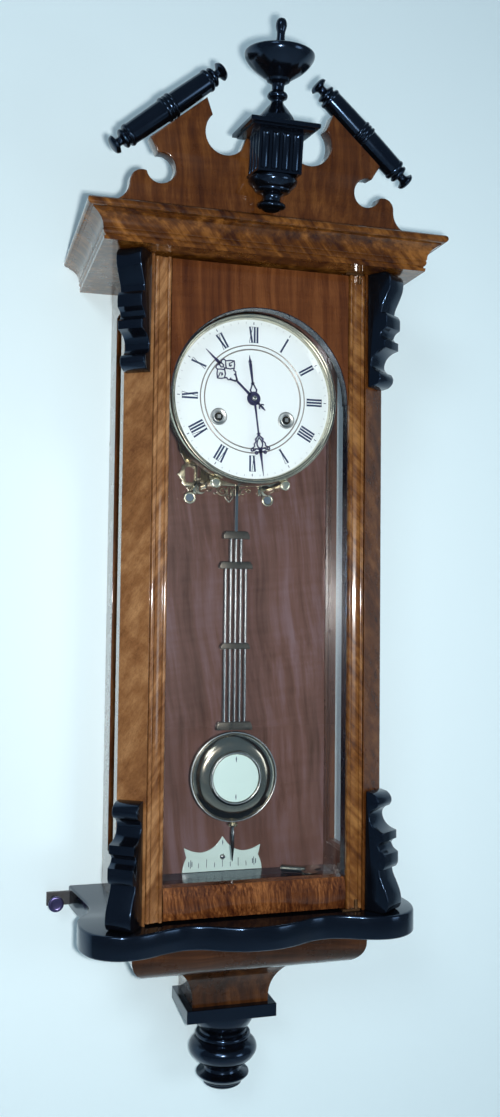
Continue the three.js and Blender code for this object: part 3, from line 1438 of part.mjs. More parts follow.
add('crest_board', crestBoard(), walnut, crest);
placeBaluster('crest_baluster_left', -1);
placeBaluster('crest_baluster_right', 1);
add('fluted_pedestal', flutedPedestal(), ebonised, crest);
add('urn_finial', urnFinial(), ebonised, crest);

add('base_shelf', baseShelf(), ebonised);
add('base_cushion', baseCushion(), walnut);
add('tail_pedestal', tailPedestal(), walnut);
add('tail_block', tailBlock(), ebonised);
add('drop_finial', dropFinial(), ebonised);
scrollBracket('scroll_top_left', -1, true);
scrollBracket('scroll_top_right', 1, true);
scrollBracket('scroll_bottom_left', -1, false);
scrollBracket('scroll_bottom_right', 1, false);
add('steady_bar', steadyBar(), iron);
add('steady_screw_left', steadyScrew(-1), steel);
add('steady_screw_right', steadyScrew(1), steel);

add('door_stile_right', rightStile(), walnut);
add('door_stile_left', mirrored(doorStile()), walnut);
add('door_spandrel', doorSpandrel(), walnut);
add('door_bottom_rail', bottomRail(), walnut);
add('door_glass', doorGlass(), glass);
add('door_pivot_top', hingePivot(true), brass);
add('door_pivot_bottom', hingePivot(false), brass);

add('dial_bezel', bezelRing(), brass);
add('dial_plate', dialPlate(), enamel);
add('hour_hand', hourHand(), bluedSteel);
add('minute_hand', minuteHand(), bluedSteel);

add('movement_bracket', movementBracket(), brass);
add('front_plate', frontPlate(), brass);
add('back_plate', backPlate(), brass);
const greatPitch = pitchShare(greatDistance, greatWheelTeeth, centrePinionLeaves);
add('time_barrel', barrel(windingX, timeWheelBack - wheelThickness, timeWheelBack,
  greatWheelTeeth, greatPitch, greatStart), brass);
add('strike_barrel', barrel(-windingX, strikeWheelFront, strikeWheelFront + wheelThickness,
  greatWheelTeeth, greatPitch, 0), brass);
add('time_winding_arbor', windingArbor(1), steel);
add('strike_winding_arbor', windingArbor(-1), steel);
add('centre_wheel', centreWheel(), brass);
add('third_wheel', thirdWheel(), brass);
add('escape_wheel', escapeWheel(), brass);
add('cannon_pinion', cannonPinion(), steel);
add('minute_wheel', minuteWheel(), brass);
add('hour_wheel', hourWheel(), brass);
add('anchor_crutch', anchorCrutch(), steel);

add('pendulum_frame', pendulumFrame(), steel);
add('pendulum_bob', pendulumBob(), brass);
add('bob_disc', bobDisc(), enamel);
add('rating_nut', ratingNut(), brass);
add('beat_scale', beatScale(), enamel);
add('winding_key', placedKey(), brass);
add('gong', gongCoil(), bluedSteel);
add('strike_hammer', strikeHammer(), brass);

export default root;
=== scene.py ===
import bpy
import bmesh
import json
import math
from mathutils import Matrix, Vector


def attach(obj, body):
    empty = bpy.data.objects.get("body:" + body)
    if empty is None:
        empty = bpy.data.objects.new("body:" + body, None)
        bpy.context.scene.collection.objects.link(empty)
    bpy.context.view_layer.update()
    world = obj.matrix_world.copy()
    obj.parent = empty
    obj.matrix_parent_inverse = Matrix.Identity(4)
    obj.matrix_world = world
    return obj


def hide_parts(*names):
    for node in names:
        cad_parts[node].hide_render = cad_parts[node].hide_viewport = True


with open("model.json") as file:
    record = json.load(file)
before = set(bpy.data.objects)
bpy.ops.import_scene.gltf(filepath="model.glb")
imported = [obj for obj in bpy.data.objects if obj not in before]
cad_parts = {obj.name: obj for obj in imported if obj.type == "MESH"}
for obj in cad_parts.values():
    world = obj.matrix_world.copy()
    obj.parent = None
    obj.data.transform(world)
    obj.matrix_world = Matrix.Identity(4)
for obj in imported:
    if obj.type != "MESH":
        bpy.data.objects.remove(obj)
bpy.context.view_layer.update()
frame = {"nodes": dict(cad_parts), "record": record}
nodes = frame["nodes"]
bodyOfNode = {node: body for body, members in frame["record"]["behaviour"]["bodies"].items()
              for node in members}
mm = 0.001
weld = 1e-6  # distance within which points become one
crisp = 32  # degrees above which an edge stays sharp
sides = (("left", -1), ("right", 1))

# The case, in millimetres as the solids have it
case = {"halfWidth": 136, "front": -157, "soffit": 131, "shelfTop": -514}


# Mesh helpers, all in millimetres
def smoothed(mesh, angle=crisp):
    mesh.shade_smooth()
    mesh.set_sharp_from_angle(angle=math.radians(angle))


def newPiece(name, mesh, angle=crisp):
    piece = bpy.data.objects.new(name, mesh)
    bpy.context.scene.collection.objects.link(piece)
    smoothed(mesh, angle)
    return piece


def pieceFrom(soup, name, angle=crisp):
    mesh = bpy.data.meshes.new(name)
    soup.to_mesh(mesh)
    soup.free()
    return newPiece(name, mesh, angle)


def addMesh(name, verts, faces):
    mesh = bpy.data.meshes.new(name)
    mesh.from_pydata([Vector(v) * mm for v in verts], [], faces)
    soup = bmesh.new()
    soup.from_mesh(mesh)
    bmesh.ops.remove_doubles(soup, verts=soup.verts, dist=weld)
    bmesh.ops.recalc_face_normals(soup, faces=soup.faces)
    soup.to_mesh(mesh)
    soup.free()
    return newPiece(name, mesh)


# Closed rings of points with one count, joined in order and capped at both ends
def ringMesh(name, rings):
    count = len(rings[0])
    last = (len(rings) - 1) * count
    faces = []
    for low in range(0, last, count):
        for j in range(count):
            k = (j + 1) % count
            faces.append((low + j, low + k, low + count + k, low + count + j))
    faces.append(tuple(range(count))[::-1])
    faces.append(tuple(last + j for j in range(count)))
    return addMesh(name, [point for ring in rings for point in ring], faces)


# One level of a block with straight sides
def tierRing(half, front, z, back=0):
    return [(-half, back, z), (half, back, z), (half, front, z), (-half, front, z)]


def oblong(left, right, low, high):
    return [(left, low), (right, low), (right, high), (left, high)]


# A section of (y, z) points run from one x to another
def railMesh(name, section, ends):
    return ringMesh(name, [[(x, y, z) for y, z in section] for x in ends])


# A section of (x, y) points run from one z to another
def postMesh(name, section, side, ends):
    return ringMesh(name, [[(side * x, y, z) for x, y in section] for z in ends])


def mirrored(line, side=-1):
    return [(side * point[0], *point[1:]) for point in line]


# A smooth line through points; a third value of 1 keeps that point a corner
def curveThrough(points, steps=4):
    handle = 0.33  # share of a span that its handles reach
    runs = [[points[0]]]
    for point in points[1:]:
        runs[-1].append(point)
        if len(point) > 2 and point[2]:
            runs.append([point])
    line = [tuple(points[0][:2])]
    for run in runs:
        spots = [Vector(point[:2]) for point in run]
        for i, (start, end) in enumerate(zip(spots, spots[1:])):
            reach = (end - start).length
            leave = arrive = (end - start) * handle
            if i:
                leave = (end - spots[i - 1]).normalized() * reach * handle
            if i + 2 < len(spots):
                arrive = (spots[i + 2] - start).normalized() * reach * handle
            handles = (start, start + leave, end - arrive, end)
            for step in range(1, steps + 1):
                t = step / steps
                weights = ((1 - t) ** 3, 3 * t * (1 - t) ** 2, 3 * t * t * (1 - t), t ** 3)
                line.append(tuple(sum((h * w for h, w in zip(handles, weights)), Vector((0, 0)))))
    return line


# A profile of (radius, height) turned about Z
def latheMesh(name, profile, segments=64, steps=4, closed=False):
    line = curveThrough(profile, steps) if steps > 1 else [tuple(p[:2]) for p in profile]
    verts, faces, rows = [], [], []
    for radius, height in line:
        if radius < weld:
            rows.append([len(verts)])
            verts.append((0, 0, height))
            continue
        rows.append(list(range(len(verts), len(verts) + segments)))
        for j in range(segments):
            angle = 2 * math.pi * j / segments
            verts.append((radius * math.cos(angle), radius * math.sin(angle), height))
    pairs = list(zip(rows, rows[1:]))
    if closed:
        pairs.append((rows[-1], rows[0]))
    for low, high in pairs:
        if len(low) == len(high) == 1:
            continue
        for j in range(segments):
            k = (j + 1) % segments
            if len(low) == 1:
                faces.append((low[0], high[k], high[j]))
            elif len(high) == 1:
                faces.append((low[j], low[k], high[0]))
            else:
                faces.append((low[j], low[k], high[k], high[j]))
    return addMesh(name, verts, faces)


# Where an outline turns sharply: the shortest normal that counts, its least half and the farthest move
sharpTurn = {"hairpin": 0.2, "leastHalf": 0.45, "farthest": 1.8}


# Moves each point of a closed outline inwards along its normal, with a limit at sharp corners
def insetOutline(outline, amount):
    spots = [Vector(point) for point in outline]
    afters = spots[1:] + spots[:1]
    side = 1 if sum(a.cross(b) for a, b in zip(spots, afters)) > 0 else -1
    result = []
    for before, here, after in zip(spots[-1:] + spots[:-1], spots, afters):
        into, away = here - before, after - here
        normal = Vector((0, 0))
        if min(into.length, away.length) > 1e-9:
            normal = Vector((-into.y, into.x)).normalized() + Vector((-away.y, away.x)).normalized()
        if normal.length < sharpTurn["hairpin"]:  # a doubled point, or a hairpin, stays where it is
            result.append(tuple(here))
            continue
        half = max(normal.length / 2, sharpTurn["leastHalf"])
        reach = min(amount / half, amount * sharpTurn["farthest"])
        result.append(tuple(here + normal.normalized() * side * reach))
    return result


def upright(u, v, depth):
    return (u, depth, v)


def level(u, v, depth):
    return (u, v, depth)


# An outline swept through levels of (inset, depth); place turns (u, v, depth) into x, y, z
def slabMesh(name, outline, levels, place=upright):
    return ringMesh(name, [[place(u, v, depth) for u, v in insetOutline(outline, inset)]
                           for inset, depth in levels])


def roundedLevels(low, high, radius, steps=3):
    foot = [math.pi / 2 * step / steps for step in range(steps + 1)]
    head = [math.pi / 2 * (1 - step / steps) for step in range(steps + 1)]
    return ([(radius * (1 - math.sin(a)), low + radius * (1 - math.cos(a))) for a in foot]
            + [(radius * (1 - math.sin(a)), high - radius * (1 - math.cos(a))) for a in head])


# Flat metal cut along lines of (u, v, width) points, closed where the ends meet
def strokeMesh(name, lines, low, high, width=1):
    soup = bmesh.new()
    for line in lines:
        points = [Vector(p[:2]) for p in line]
        halves = [(p[2] if len(p) > 2 else width) / 2 for p in line]
        closed = (points[0] - points[-1]).length < weld
        if closed:
            points, halves = points[:-1], halves[:-1]
        count = len(points)
        corners = []
        for i, here in enumerate(points):
            before = points[i - 1] if (i or closed) else here
            after = points[(i + 1) % count] if (i + 1 < count or closed) else here
            along = (after - before).normalized()
            across = Vector((-along.y, along.x)) * halves[i]
            corners.append([soup.verts.new(Vector(upright(*(here + across * s), d)) * mm)
                            for s, d in ((1, low), (-1, low), (-1, high), (1, high))])
        for i in range(count if closed else count - 1):
            start, end = corners[i], corners[(i + 1) % count]
            for k in range(4):
                soup.faces.new((start[k], start[(k + 1) % 4], end[(k + 1) % 4], end[k]))
        if not closed:
            soup.faces.new(corners[0][::-1])
            soup.faces.new(corners[-1])
    bmesh.ops.recalc_face_normals(soup, faces=soup.faces)
    return pieceFrom(soup, name, 40)


# Points along an arc, in degrees; another radius at its end makes it a spiral
def arcPoints(x, z, radius, start, end, steps=12, endRadius=None):
    points = []
    for i in range(steps + 1):
        angle = math.radians(start + (end - start) * i / steps)
        reach = radius + ((endRadius or radius) - radius) * i / steps
        points.append((x + reach * math.cos(angle), z + reach * math.sin(angle)))
    return points


def moved(piece, matrix):
    piece.data.transform(matrix)
    if matrix.determinant() < 0:
        piece.data.flip_normals()
    return piece


def shift(x, y, z):
    return Matrix.Translation(Vector((x, y, z)) * mm)


def turn(degrees, axis):
    return Matrix.Rotation(math.radians(degrees), 4, axis)


# A profile of (radius, forward) about an axis along Y, forward being minus y
def turnedFront(name, profile, segments=64, steps=3, closed=False, x=0, z=0):
    return moved(latheMesh(name, profile, segments, steps, closed), shift(x, 0, z) @ turn(90, "X"))


def discMesh(name, radius, front, back, segments, x=0, z=0):
    profile = [(0, -front, 1), (radius, -front, 1), (radius, -back, 1), (0, -back, 1)]
    return turnedFront(name, profile, segments, 1, False, x, z)


# Several meshes kept as one piece
def joined(name, parts):
    soup = bmesh.new()
    for part in parts:
        mesh = part.data
        soup.from_mesh(mesh)
        bpy.data.objects.remove(part)
        bpy.data.meshes.remove(mesh)
    return pieceFrom(soup, name)


def cutAway(piece, *cutters):
    for cutter in cutters:
        drill = piece.modifiers.new("drill", "BOOLEAN")
        drill.object = cutter
        drill.operation = "DIFFERENCE"
        drill.solver = "EXACT"
    result = bpy.data.meshes.new_from_object(piece.evaluated_get(bpy.context.evaluated_depsgraph_get()))
    piece.modifiers.clear()
    piece.data = result
    for cutter in cutters:
        bpy.data.objects.remove(cutter)


# Gives a piece its finish and its body, and hides the nodes that it stands for
def fit(piece, finish, slotName, body, *replaced):
    piece.data.materials.clear()
    piece.data.materials.append(finishes[finish])
    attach(piece, body)
    if replaced:
        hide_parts(*replaced)
    return piece


# The node's own shape with its edges eased, as a plane and sandpaper leave them
def easedCopy(node, finish, slotName, width, segments=2):
    mesh = nodes[node].data.copy()
    soup = bmesh.new()
    soup.from_mesh(mesh)
    bmesh.ops.remove_doubles(soup, verts=soup.verts, dist=weld)
    bmesh.ops.dissolve_limit(soup, angle_limit=math.radians(1), verts=soup.verts, edges=soup.edges)
    soup.to_mesh(mesh)
    soup.free()
    piece = newPiece(node + "_eased", mesh)
    ease = piece.modifiers.new("ease", "BEVEL")
    ease.width = width * mm
    ease.segments = segments
    ease.limit_method = "ANGLE"
    ease.angle_limit = math.radians(38)
    ease.harden_normals = True
    ease.use_clamp_overlap = True
    return fit(piece, finish, slotName, bodyOfNode[node], node)


def dress(finish, *names):
    for name in names:
        for place in nodes[name].material_slots:
            place.material = finishes[finish]
        smoothed(nodes[name].data)


# Material helpers; a socket takes a number, a colour, a vector or another node's output
def feed(tree, socket, value):
    if isinstance(value, bpy.types.NodeSocket):
        tree.links.new(value, socket)
    elif value is not None:
        socket.default_value = (*value, 1) if socket.type == "RGBA" else value


def addNode(tree, kind, inputs=None, **settings):
    node = tree.nodes.new("ShaderNode" + kind)
    for name, value in settings.items():
        setattr(node, name, value)
    for place, value in (inputs or {}).items():
        feed(tree, node.inputs[place], value)
    return node


def addMath(tree, operation, first, second=None, clamp=False):
    return addNode(tree, "Math", {0: first, 1: second}, operation=operation, use_clamp=clamp).outputs[0]


def addVectorMath(tree, operation, inputs):
    return addNode(tree, "VectorMath", inputs, operation=operation).outputs[0]


# Noise in space stretched by shape, and scaled by size where that is given
def addNoise(tree, vector, shape, detail, roughness, size=None, scale=1.0):
    if shape:
        vector = addVectorMath(tree, "MULTIPLY", {0: vector, 1: shape})
    if size:
        vector = addVectorMath(tree, "SCALE", {0: vector, "Scale": size})
    return addNode(tree, "TexNoise", {"Vector": vector, "Scale": scale, "Detail": detail,
                                      "Roughness": roughness}).outputs["Fac"]


def addRamp(tree, value, stops):
    ramp = addNode(tree, "ValToRGB", {"Fac": value})
    while len(ramp.color_ramp.elements) < len(stops):
        ramp.color_ramp.elements.new(0.5)
    for element, (at, colour) in zip(ramp.color_ramp.elements, stops):
        element.position = at
        element.color = (*colour, 1)
    return ramp.outputs["Color"]


# The colour sockets of a Mix node are its inputs 6 and 7 and its output 2
def mixColours(tree, amount, first, second, blend="MIX"):
    sockets = {0: amount, 6: first, 7: second}
    return addNode(tree, "Mix", sockets, data_type="RGBA", blend_type=blend).outputs[2]


def newGroup(name, inputs, outputs):
    group = bpy.data.node_groups.new(name, "ShaderNodeTree")
    for label, value in inputs.items():
        kind = "NodeSocketFloat" if isinstance(value, float) else "NodeSocketVector"
        group.interface.new_socket(label, in_out="INPUT", socket_type=kind).default_value = value
    for label in outputs:
        group.interface.new_socket(label, in_out="OUTPUT", socket_type="NodeSocketFloat")
    return group, group.nodes.new("NodeGroupInput").outputs, group.nodes.new("NodeGroupOutput").inputs


# Stretch, detail and roughness of each layer of the grain
grainLayers = {
    "streaks": ((1, 1, 0.035), 4, 0.62), "clouds": ((1, 1, 0.3), 3, 0.5), "cross": ((14, 14, 150), 2, 0.5),
    "fibres": ((700, 700, 18), 4, 0.6), "pores": ((1900, 1900, 90), 2, 0.5),
}


# Grain runs along the turned Z; puts out the figure, the fine fibres, the pores and a height
def buildWoodGroup():
    group, start, end = newGroup("woodGrain", {
        "Vector": (0, 0, 0), "Turn": (0, 0, 0), "Streaks": 120.0, "Clouds": 16.0, "Ripple": 0.2,
    }, ("Figure", "Fibres", "Pores", "Height"))
    spin = addNode(group, "VectorRotate", rotation_type="EULER_XYZ")
    feed(group, spin.inputs["Vector"], start["Vector"])
    feed(group, spin.inputs["Rotation"], start["Turn"])
    wander = addNode(group, "TexNoise", {"Vector": spin.outputs[0], "Scale": 7, "Detail": 1})
    vector = addVectorMath(group, "MULTIPLY_ADD", {0: wander.outputs["Color"], 1: (0.03, 0.03, 0),
                                                   2: spin.outputs[0]})
    streaks = addNoise(group, vector, *grainLayers["streaks"], start["Streaks"])
    clouds = addNoise(group, vector, *grainLayers["clouds"], start["Clouds"])
    cross = addNoise(group, vector, *grainLayers["cross"])
    cross = addMath(group, "MULTIPLY", addMath(group, "SUBTRACT", cross, 0.5), start["Ripple"])
    figure = addMath(group, "ADD", addMath(group, "MULTIPLY", streaks, 0.6),
                     addMath(group, "MULTIPLY", clouds, 0.4))
    fibres = addNoise(group, vector, *grainLayers["fibres"])
    pores = addMath(group, "GREATER_THAN", addNoise(group, vector, *grainLayers["pores"]), 0.63)
    feed(group, end["Figure"], addMath(group, "ADD", figure, cross, True))
    feed(group, end["Fibres"], fibres)
    feed(group, end["Pores"], pores)
    feed(group, end["Height"], addMath(group, "SUBTRACT", fibres, addMath(group, "MULTIPLY", pores, 0.5)))
    return group


# Soft uneven polish: a cloudy roughness and a faint waviness of the surface
def buildPolishGroup():
    group, start, end = newGroup("handPolish", {"Vector": (0, 0, 0), "Low": 0.1, "High": 0.3, "Size": 40.0},
                                 ("Roughness", "Height", "Cloud"))
    cloud = addNoise(group, start["Vector"], None, 5, 0.65, start["Size"])
    span = addNode(group, "MapRange", {"Value": cloud, "From Min": 0.3, "From Max": 0.7,
                                       "To Min": start["Low"], "To Max": start["High"]})
    feed(group, end["Roughness"], span.outputs["Result"])
    feed(group, end["Height"], addNoise(group, start["Vector"], None, 1, 0.4, start["Size"], 0.35))
    feed(group, end["Cloud"], cloud)
    return group


woodGroup = buildWoodGroup()
polishGroup = buildPolishGroup()


def newMaterial(name):
    material = bpy.data.materials.new(name)
    material.use_nodes = True
    tree = material.node_tree
    return material, tree, tree.nodes["Principled BSDF"], addNode(tree, "TexCoord").outputs["Object"]


def addPolish(tree, place, low, high, size):
    return addNode(tree, "Group", {"Vector": place, "Low": low, "High": high, "Size": size},
                   node_tree=polishGroup).outputs


# A colour that goes over to another by the cloud of the polish
def clouded(tree, polish, amount, colour, other):
    return mixColours(tree, addMath(tree, "MULTIPLY", polish["Cloud"], amount), colour, other)


def setShader(tree, shader, values, height=None, strength=0.14, distance=0.0006):
    for place, value in values.items():
        feed(tree, shader.inputs[place], value)
    if height is not None:
        bump = addNode(tree, "Bump", {"Strength": strength, "Distance": distance, "Height": height})
        feed(tree, shader.inputs["Normal"], bump.outputs["Normal"])


# Lets rays straight through where the mask is 1
def openShader(tree, shader, mask):
    clear = addNode(tree, "BsdfTransparent").outputs[0]
    mix = addNode(tree, "MixShader", {0: mask, 1: shader.outputs[0], 2: clear})
    feed(tree, tree.nodes["Material Output"].inputs["Surface"], mix.outputs[0])


# Dark, middle and light of each veneer
walnutTones = {
    "golden": ((0.105, 0.038, 0.011), (0.205, 0.09, 0.031), (0.345, 0.18, 0.075)),
    "orange": ((0.055, 0.016, 0.003), (0.145, 0.053, 0.01), (0.27, 0.125, 0.034)),
    "ember": ((0.062, 0.018, 0.003), (0.115, 0.037, 0.007), (0.19, 0.072, 0.018)),
    "russet": ((0.045, 0.012, 0.002), (0.084, 0.026, 0.005), (0.145, 0.053, 0.012)),
    "amber": ((0.032, 0.008, 0.0015), (0.1, 0.033, 0.004), (0.25, 0.1, 0.02)),
    "red": ((0.056, 0.015, 0.004), (0.102, 0.031, 0.008), (0.16, 0.055, 0.016)),
    "cherry": ((0.036, 0.009, 0.003), (0.115, 0.037, 0.01), (0.26, 0.1, 0.03)),
    # This tone is set darker than the wood: it paints the shade that falls under the shelf onto the cushion
    # and the tail.
    "brownWithShade": ((0.02, 0.007, 0.0015), (0.045, 0.015, 0.0035), (0.09, 0.033, 0.009)),
    # This tone's violet, strongest in its light end, is a painted reflection: the violet sheen of the door
    # glass over the backboard. The plum brown under it is the wood's own.
    "plumAndGlassSheen": ((0.074, 0.032, 0.018), (0.146, 0.072, 0.055), (0.2, 0.125, 0.13)),
}


def makeWood(name, tone, turnBy, streaks, clouds, ripple=0.1, coat=1.0, low=0.22, high=0.36,
             stops=(0.38, 0.5, 0.62), relief=0.14, gloss=0.08, film=1.34, fine=1.0):
    material, tree, shader, place = newMaterial(name)
    grain = addNode(tree, "Group", {
        "Vector": place, "Turn": [math.radians(a) for a in turnBy], "Streaks": streaks, "Clouds": clouds,
        "Ripple": ripple,
    }, node_tree=woodGroup).outputs
    tones = addRamp(tree, grain["Figure"], list(zip(stops, walnutTones[tone])))
    fibres = addRamp(tree, grain["Fibres"], [(0.34, (0.72, 0.68, 0.66)), (0.6, (1, 1, 1))])
    colour = mixColours(tree, 0.7 * fine, tones, fibres, "MULTIPLY")
    pores = addMath(tree, "MULTIPLY", grain["Pores"], 0.28 * fine)
    polish = addPolish(tree, place, low, high, 30)
    height = addMath(tree, "ADD", addMath(tree, "MULTIPLY", grain["Height"], 0.06), polish["Height"])
    setShader(tree, shader, {
        "Base Color": mixColours(tree, pores, colour, (0.025, 0.01, 0.005)), "Roughness": polish["Roughness"],
        "Specular IOR Level": 0.12, "Coat Weight": coat, "Coat IOR": film, "Coat Roughness": gloss,
    }, height, relief)
    return material


# shine tints the lacquer's reflections blue, a painted colour standing in for bluish light reflected in the
# black; the highlights themselves come from the lamps.
def makeLacquer(name, colour, low, high, shine=(0.4, 0.68, 1)):
    material, tree, shader, place = newMaterial(name)
    polish = addPolish(tree, place, low, high, 45)
    setShader(tree, shader, {
        "Base Color": clouded(tree, polish, 0.5, colour, tuple(c * 1.9 + 0.003 for c in colour)),
        "Roughness": polish["Roughness"], "Specular Tint": shine, "IOR": 1.6,
    }, polish["Height"])
    return material


def makeMetal(name, colour, tarnish, low, high, size, amount):
    material, tree, shader, place = newMaterial(name)
    polish = addPolish(tree, place, low, high, size)
    spots = addRamp(tree, polish["Cloud"], [(0.42, (0, 0, 0)), (0.7, (1, 1, 1))])
    setShader(tree, shader, {
        "Base Color": mixColours(tree, addMath(tree, "MULTIPLY", spots, amount), colour, tarnish),
        "Roughness": polish["Roughness"], "Metallic": 1,
    }, polish["Height"], 0.12, 0.0003)
    return material


def makeEnamel(name, colour, shade):
    material, tree, shader, place = newMaterial(name)
    polish = addPolish(tree, place, 0.08, 0.16, 25)
    setShader(tree, shader, {
        "Base Color": clouded(tree, polish, 0.35, colour, shade), "Roughness": polish["Roughness"],
        "Coat Weight": 0.5, "Coat Roughness": 0.04,
    }, polish["Height"], 0.1, 0.0004)
    return material


# Light reaches what is behind the glass as if the pane weren't there
def makeGlass(name):
    material, tree, shader, place = newMaterial(name)
    polish = addPolish(tree, place, 0.0, 0.012, 12)
    setShader(tree, shader, {"Base Color": (0.97, 0.985, 0.99), "Roughness": polish["Roughness"],
                             "Transmission Weight": 1, "IOR": 1.45})
    path = addNode(tree, "LightPath").outputs
    soft = addMath(tree, "MAXIMUM", path["Is Shadow Ray"], path["Is Diffuse Ray"])
    straight = addMath(tree, "SUBTRACT", path["Is Glossy Ray"], path["Is Transmission Ray"], True)
    openShader(tree, shader, addMath(tree, "MAXIMUM", soft, straight))
    return material


finishes = {
    "cornice": makeWood("walnutCornice", "amber", (0, 40, 0), 120, 24, 0.12),
    "post": makeWood("walnutPost", "golden", (0, -42, 0), 62, 14, stops=(0.35, 0.5, 0.66)),
    "postRight": makeWood("walnutPostRight", "ember", (0, 42, 0), 90, 14),
    "stile": makeWood("walnutStile", "golden", (0, -30, 0), 150, 20),
    "stileRight": makeWood("walnutStileRight", "orange", (0, 45, 0), 150, 20),
    "panel": makeWood("walnutPanel", "red", (0, 2, 0), 110, 14),
    "rail": makeWood("walnutRail", "cherry", (0, 3, 0), 480, 30, 0.05),
    "crest": makeWood("walnutCrest", "russet", (0, 3, 0), 105, 15, 0.12),
    "base": makeWood("walnutBase", "brownWithShade", (0, 87, 0), 95, 16),
    "tail": makeWood("walnutTail", "brownWithShade", (0, 2, 0), 130, 22),
    "side": makeWood("walnutSide", "russet", (0, 0, 0), 110, 14, film=1.55),
    "back": makeWood("walnutBack", "plumAndGlassSheen", (0, 6, 0), 100, 24, coat=0.7, low=0.3, high=0.42,
                     stops=(0.34, 0.5, 0.66), relief=0, gloss=0.2, film=1.5, fine=0.12),
    "black": makeLacquer("ebonised", (0.0012, 0.0015, 0.0025), 0.13, 0.19, (0.36, 0.6, 1)),
    "lining": makeLacquer("doorLining", (0.004, 0.004, 0.009), 0.22, 0.3),
    "caseFloor": makeLacquer("caseFloor", (0.013, 0.008, 0.014), 0.14, 0.22),
    "brass": makeMetal("brass", (0.7, 0.62, 0.42), (0.45, 0.37, 0.22), 0.12, 0.26, 110, 0.5),
    "bezel": makeMetal("bezelBrass", (0.56, 0.53, 0.42), (0.36, 0.33, 0.22), 0.14, 0.26, 80, 0.5),
    "paleBrass": makeMetal("paleBrass", (0.95, 0.9, 0.7), (0.72, 0.62, 0.38), 0.15, 0.28, 120, 0.4),
    # This brass is set dark as a painted reflection of the dark room in the bob's dished face; the winding
    # key shares it.
    "bobBrass": makeMetal("bobBrass", (0.46, 0.42, 0.34), (0.3, 0.26, 0.18), 0.1, 0.2, 90, 0.4),
    "nickel": makeMetal("nickel", (0.82, 0.82, 0.8), (0.6, 0.59, 0.57), 0.16, 0.28, 130, 0.4),
    "rodSteel": makeMetal("rodSteel", (0.5, 0.5, 0.49), (0.34, 0.34, 0.33), 0.09, 0.16, 130, 0.4),
    "gunmetal": makeMetal("gunmetal", (0.13, 0.12, 0.1), (0.07, 0.06, 0.05), 0.26, 0.4, 120, 0.5),
    "steel": makeMetal("steel", (0.42, 0.44, 0.42), (0.28, 0.28, 0.29), 0.32, 0.45, 130, 0.5),
    "blued": makeMetal("bluedSteel", (0.1, 0.09, 0.2), (0.055, 0.045, 0.12), 0.26, 0.4, 200, 0.5),
    "iron": makeMetal("darkIron", (0.1, 0.1, 0.105), (0.06, 0.055, 0.05), 0.35, 0.55, 80, 0.6),
    "pivot": makeMetal("darkBrass", (0.16, 0.085, 0.04), (0.1, 0.05, 0.025), 0.35, 0.5, 90, 0.5),
    "enamel": makeEnamel("enamel", (0.85, 0.92, 0.92), (0.8, 0.88, 0.88)),
    "greenEnamel": makeEnamel("greenEnamel", (0.66, 0.84, 0.79), (0.6, 0.79, 0.74)),
    "slate": makeLacquer("slateInlay", (0.1, 0.13, 0.16), 0.3, 0.45),
    "ink": makeLacquer("dialInk", (0.013, 0.015, 0.05), 0.4, 0.55),
    "silver": makeMetal("silverRing", (0.42, 0.38, 0.34), (0.28, 0.25, 0.24), 0.3, 0.45, 200, 0.5),
    "glass": makeGlass("windowGlass"),
}
print("materials ready")


def buildCase():
    for node, finish, slotName in (
        ("backboard", "back", "dark_walnut"), ("case_floor", "caseFloor", "dark_walnut"),
        ("side_panel_left", "side", "walnut"), ("side_panel_right", "side", "walnut"),
        ("corner_post_left", "post", "walnut"), ("corner_post_right", "postRight", "walnut"),
    ):
        easedCopy(node, finish, slotName, 0.6)
    dress("glass", "side_glass_left", "side_glass_right", "door_glass")
    print("case built")


# The cornice moulding, with its profile in shares of its reach and height
corniceCut = {
    "sideReach": 46, "frontReach": 43, "height": 34,
    "profile": [
        (0.61, 0), (0.62, 0.09, 1), (0.585, 0.11, 1), (0.585, 0.15, 1), (0.615, 0.18), (0.637, 0.25),
        (0.625, 0.32, 1), (0.642, 0.34, 1), (0.655, 0.46), (0.7, 0.57), (0.78, 0.67), (0.88, 0.745, 1),
        (0.88, 0.77, 1), (0.95, 0.785), (0.99, 0.83), (1.0, 0.89), (0.99, 0.95), (0.95, 1, 1),
    ],
}


def buildCornice():
    cut = corniceCut
    rings = []
    for reach, height in curveThrough(cut["profile"]):
        half = case["halfWidth"] + cut["sideReach"] * reach
        front = case["front"] - cut["frontReach"] * reach
        rings.append(tierRing(half, front, case["soffit"] + cut["height"] * height))
    fit(ringMesh("cornice_moulded", rings), "cornice", "walnut", "case", "cornice")
    print("cornice built")


# Crest: a board that leans forward about the middle of its foot; its arcs are x, z, radius, degrees and steps
crestCut = {
    "y": -150, "z": 166.86, "lean": 9, "thickness": 20, "easing": 1.2, "half": 157, "foot": 11,
    "coveZ": 12, "coveWidth": 19.6, "coveHeight": 20.3, "horn": (125.6, 32.2, 11.8, 0, 109.4, 12),
    "hollow": (107.7, 47.2, 14.5, -15.5, -285, 28), "slopeEnds": (119.5, 65.3),
    "bay": (43.8, 88.2, 21.5, 45, -135, 24), "neck": (23.6, 85.2),
    "balusterRadius": 12.6, "balusterGap": 0.6, "innerX": 48, "innerZ": 150, "slope": 39, "length": 138,
}
crestMatrix = shift(0, crestCut["y"], crestCut["z"]) @ turn(crestCut["lean"], "X")


# Height of the board's edge under the baluster
def crestEdge(x):
    slope = math.radians(crestCut["slope"])
    reach = crestCut["balusterRadius"] + crestCut["balusterGap"]
    edgeX = crestCut["innerX"] - reach * math.sin(slope)
    edgeZ = crestCut["innerZ"] - reach * math.cos(slope)
    return edgeZ - (x - edgeX) * math.tan(slope)


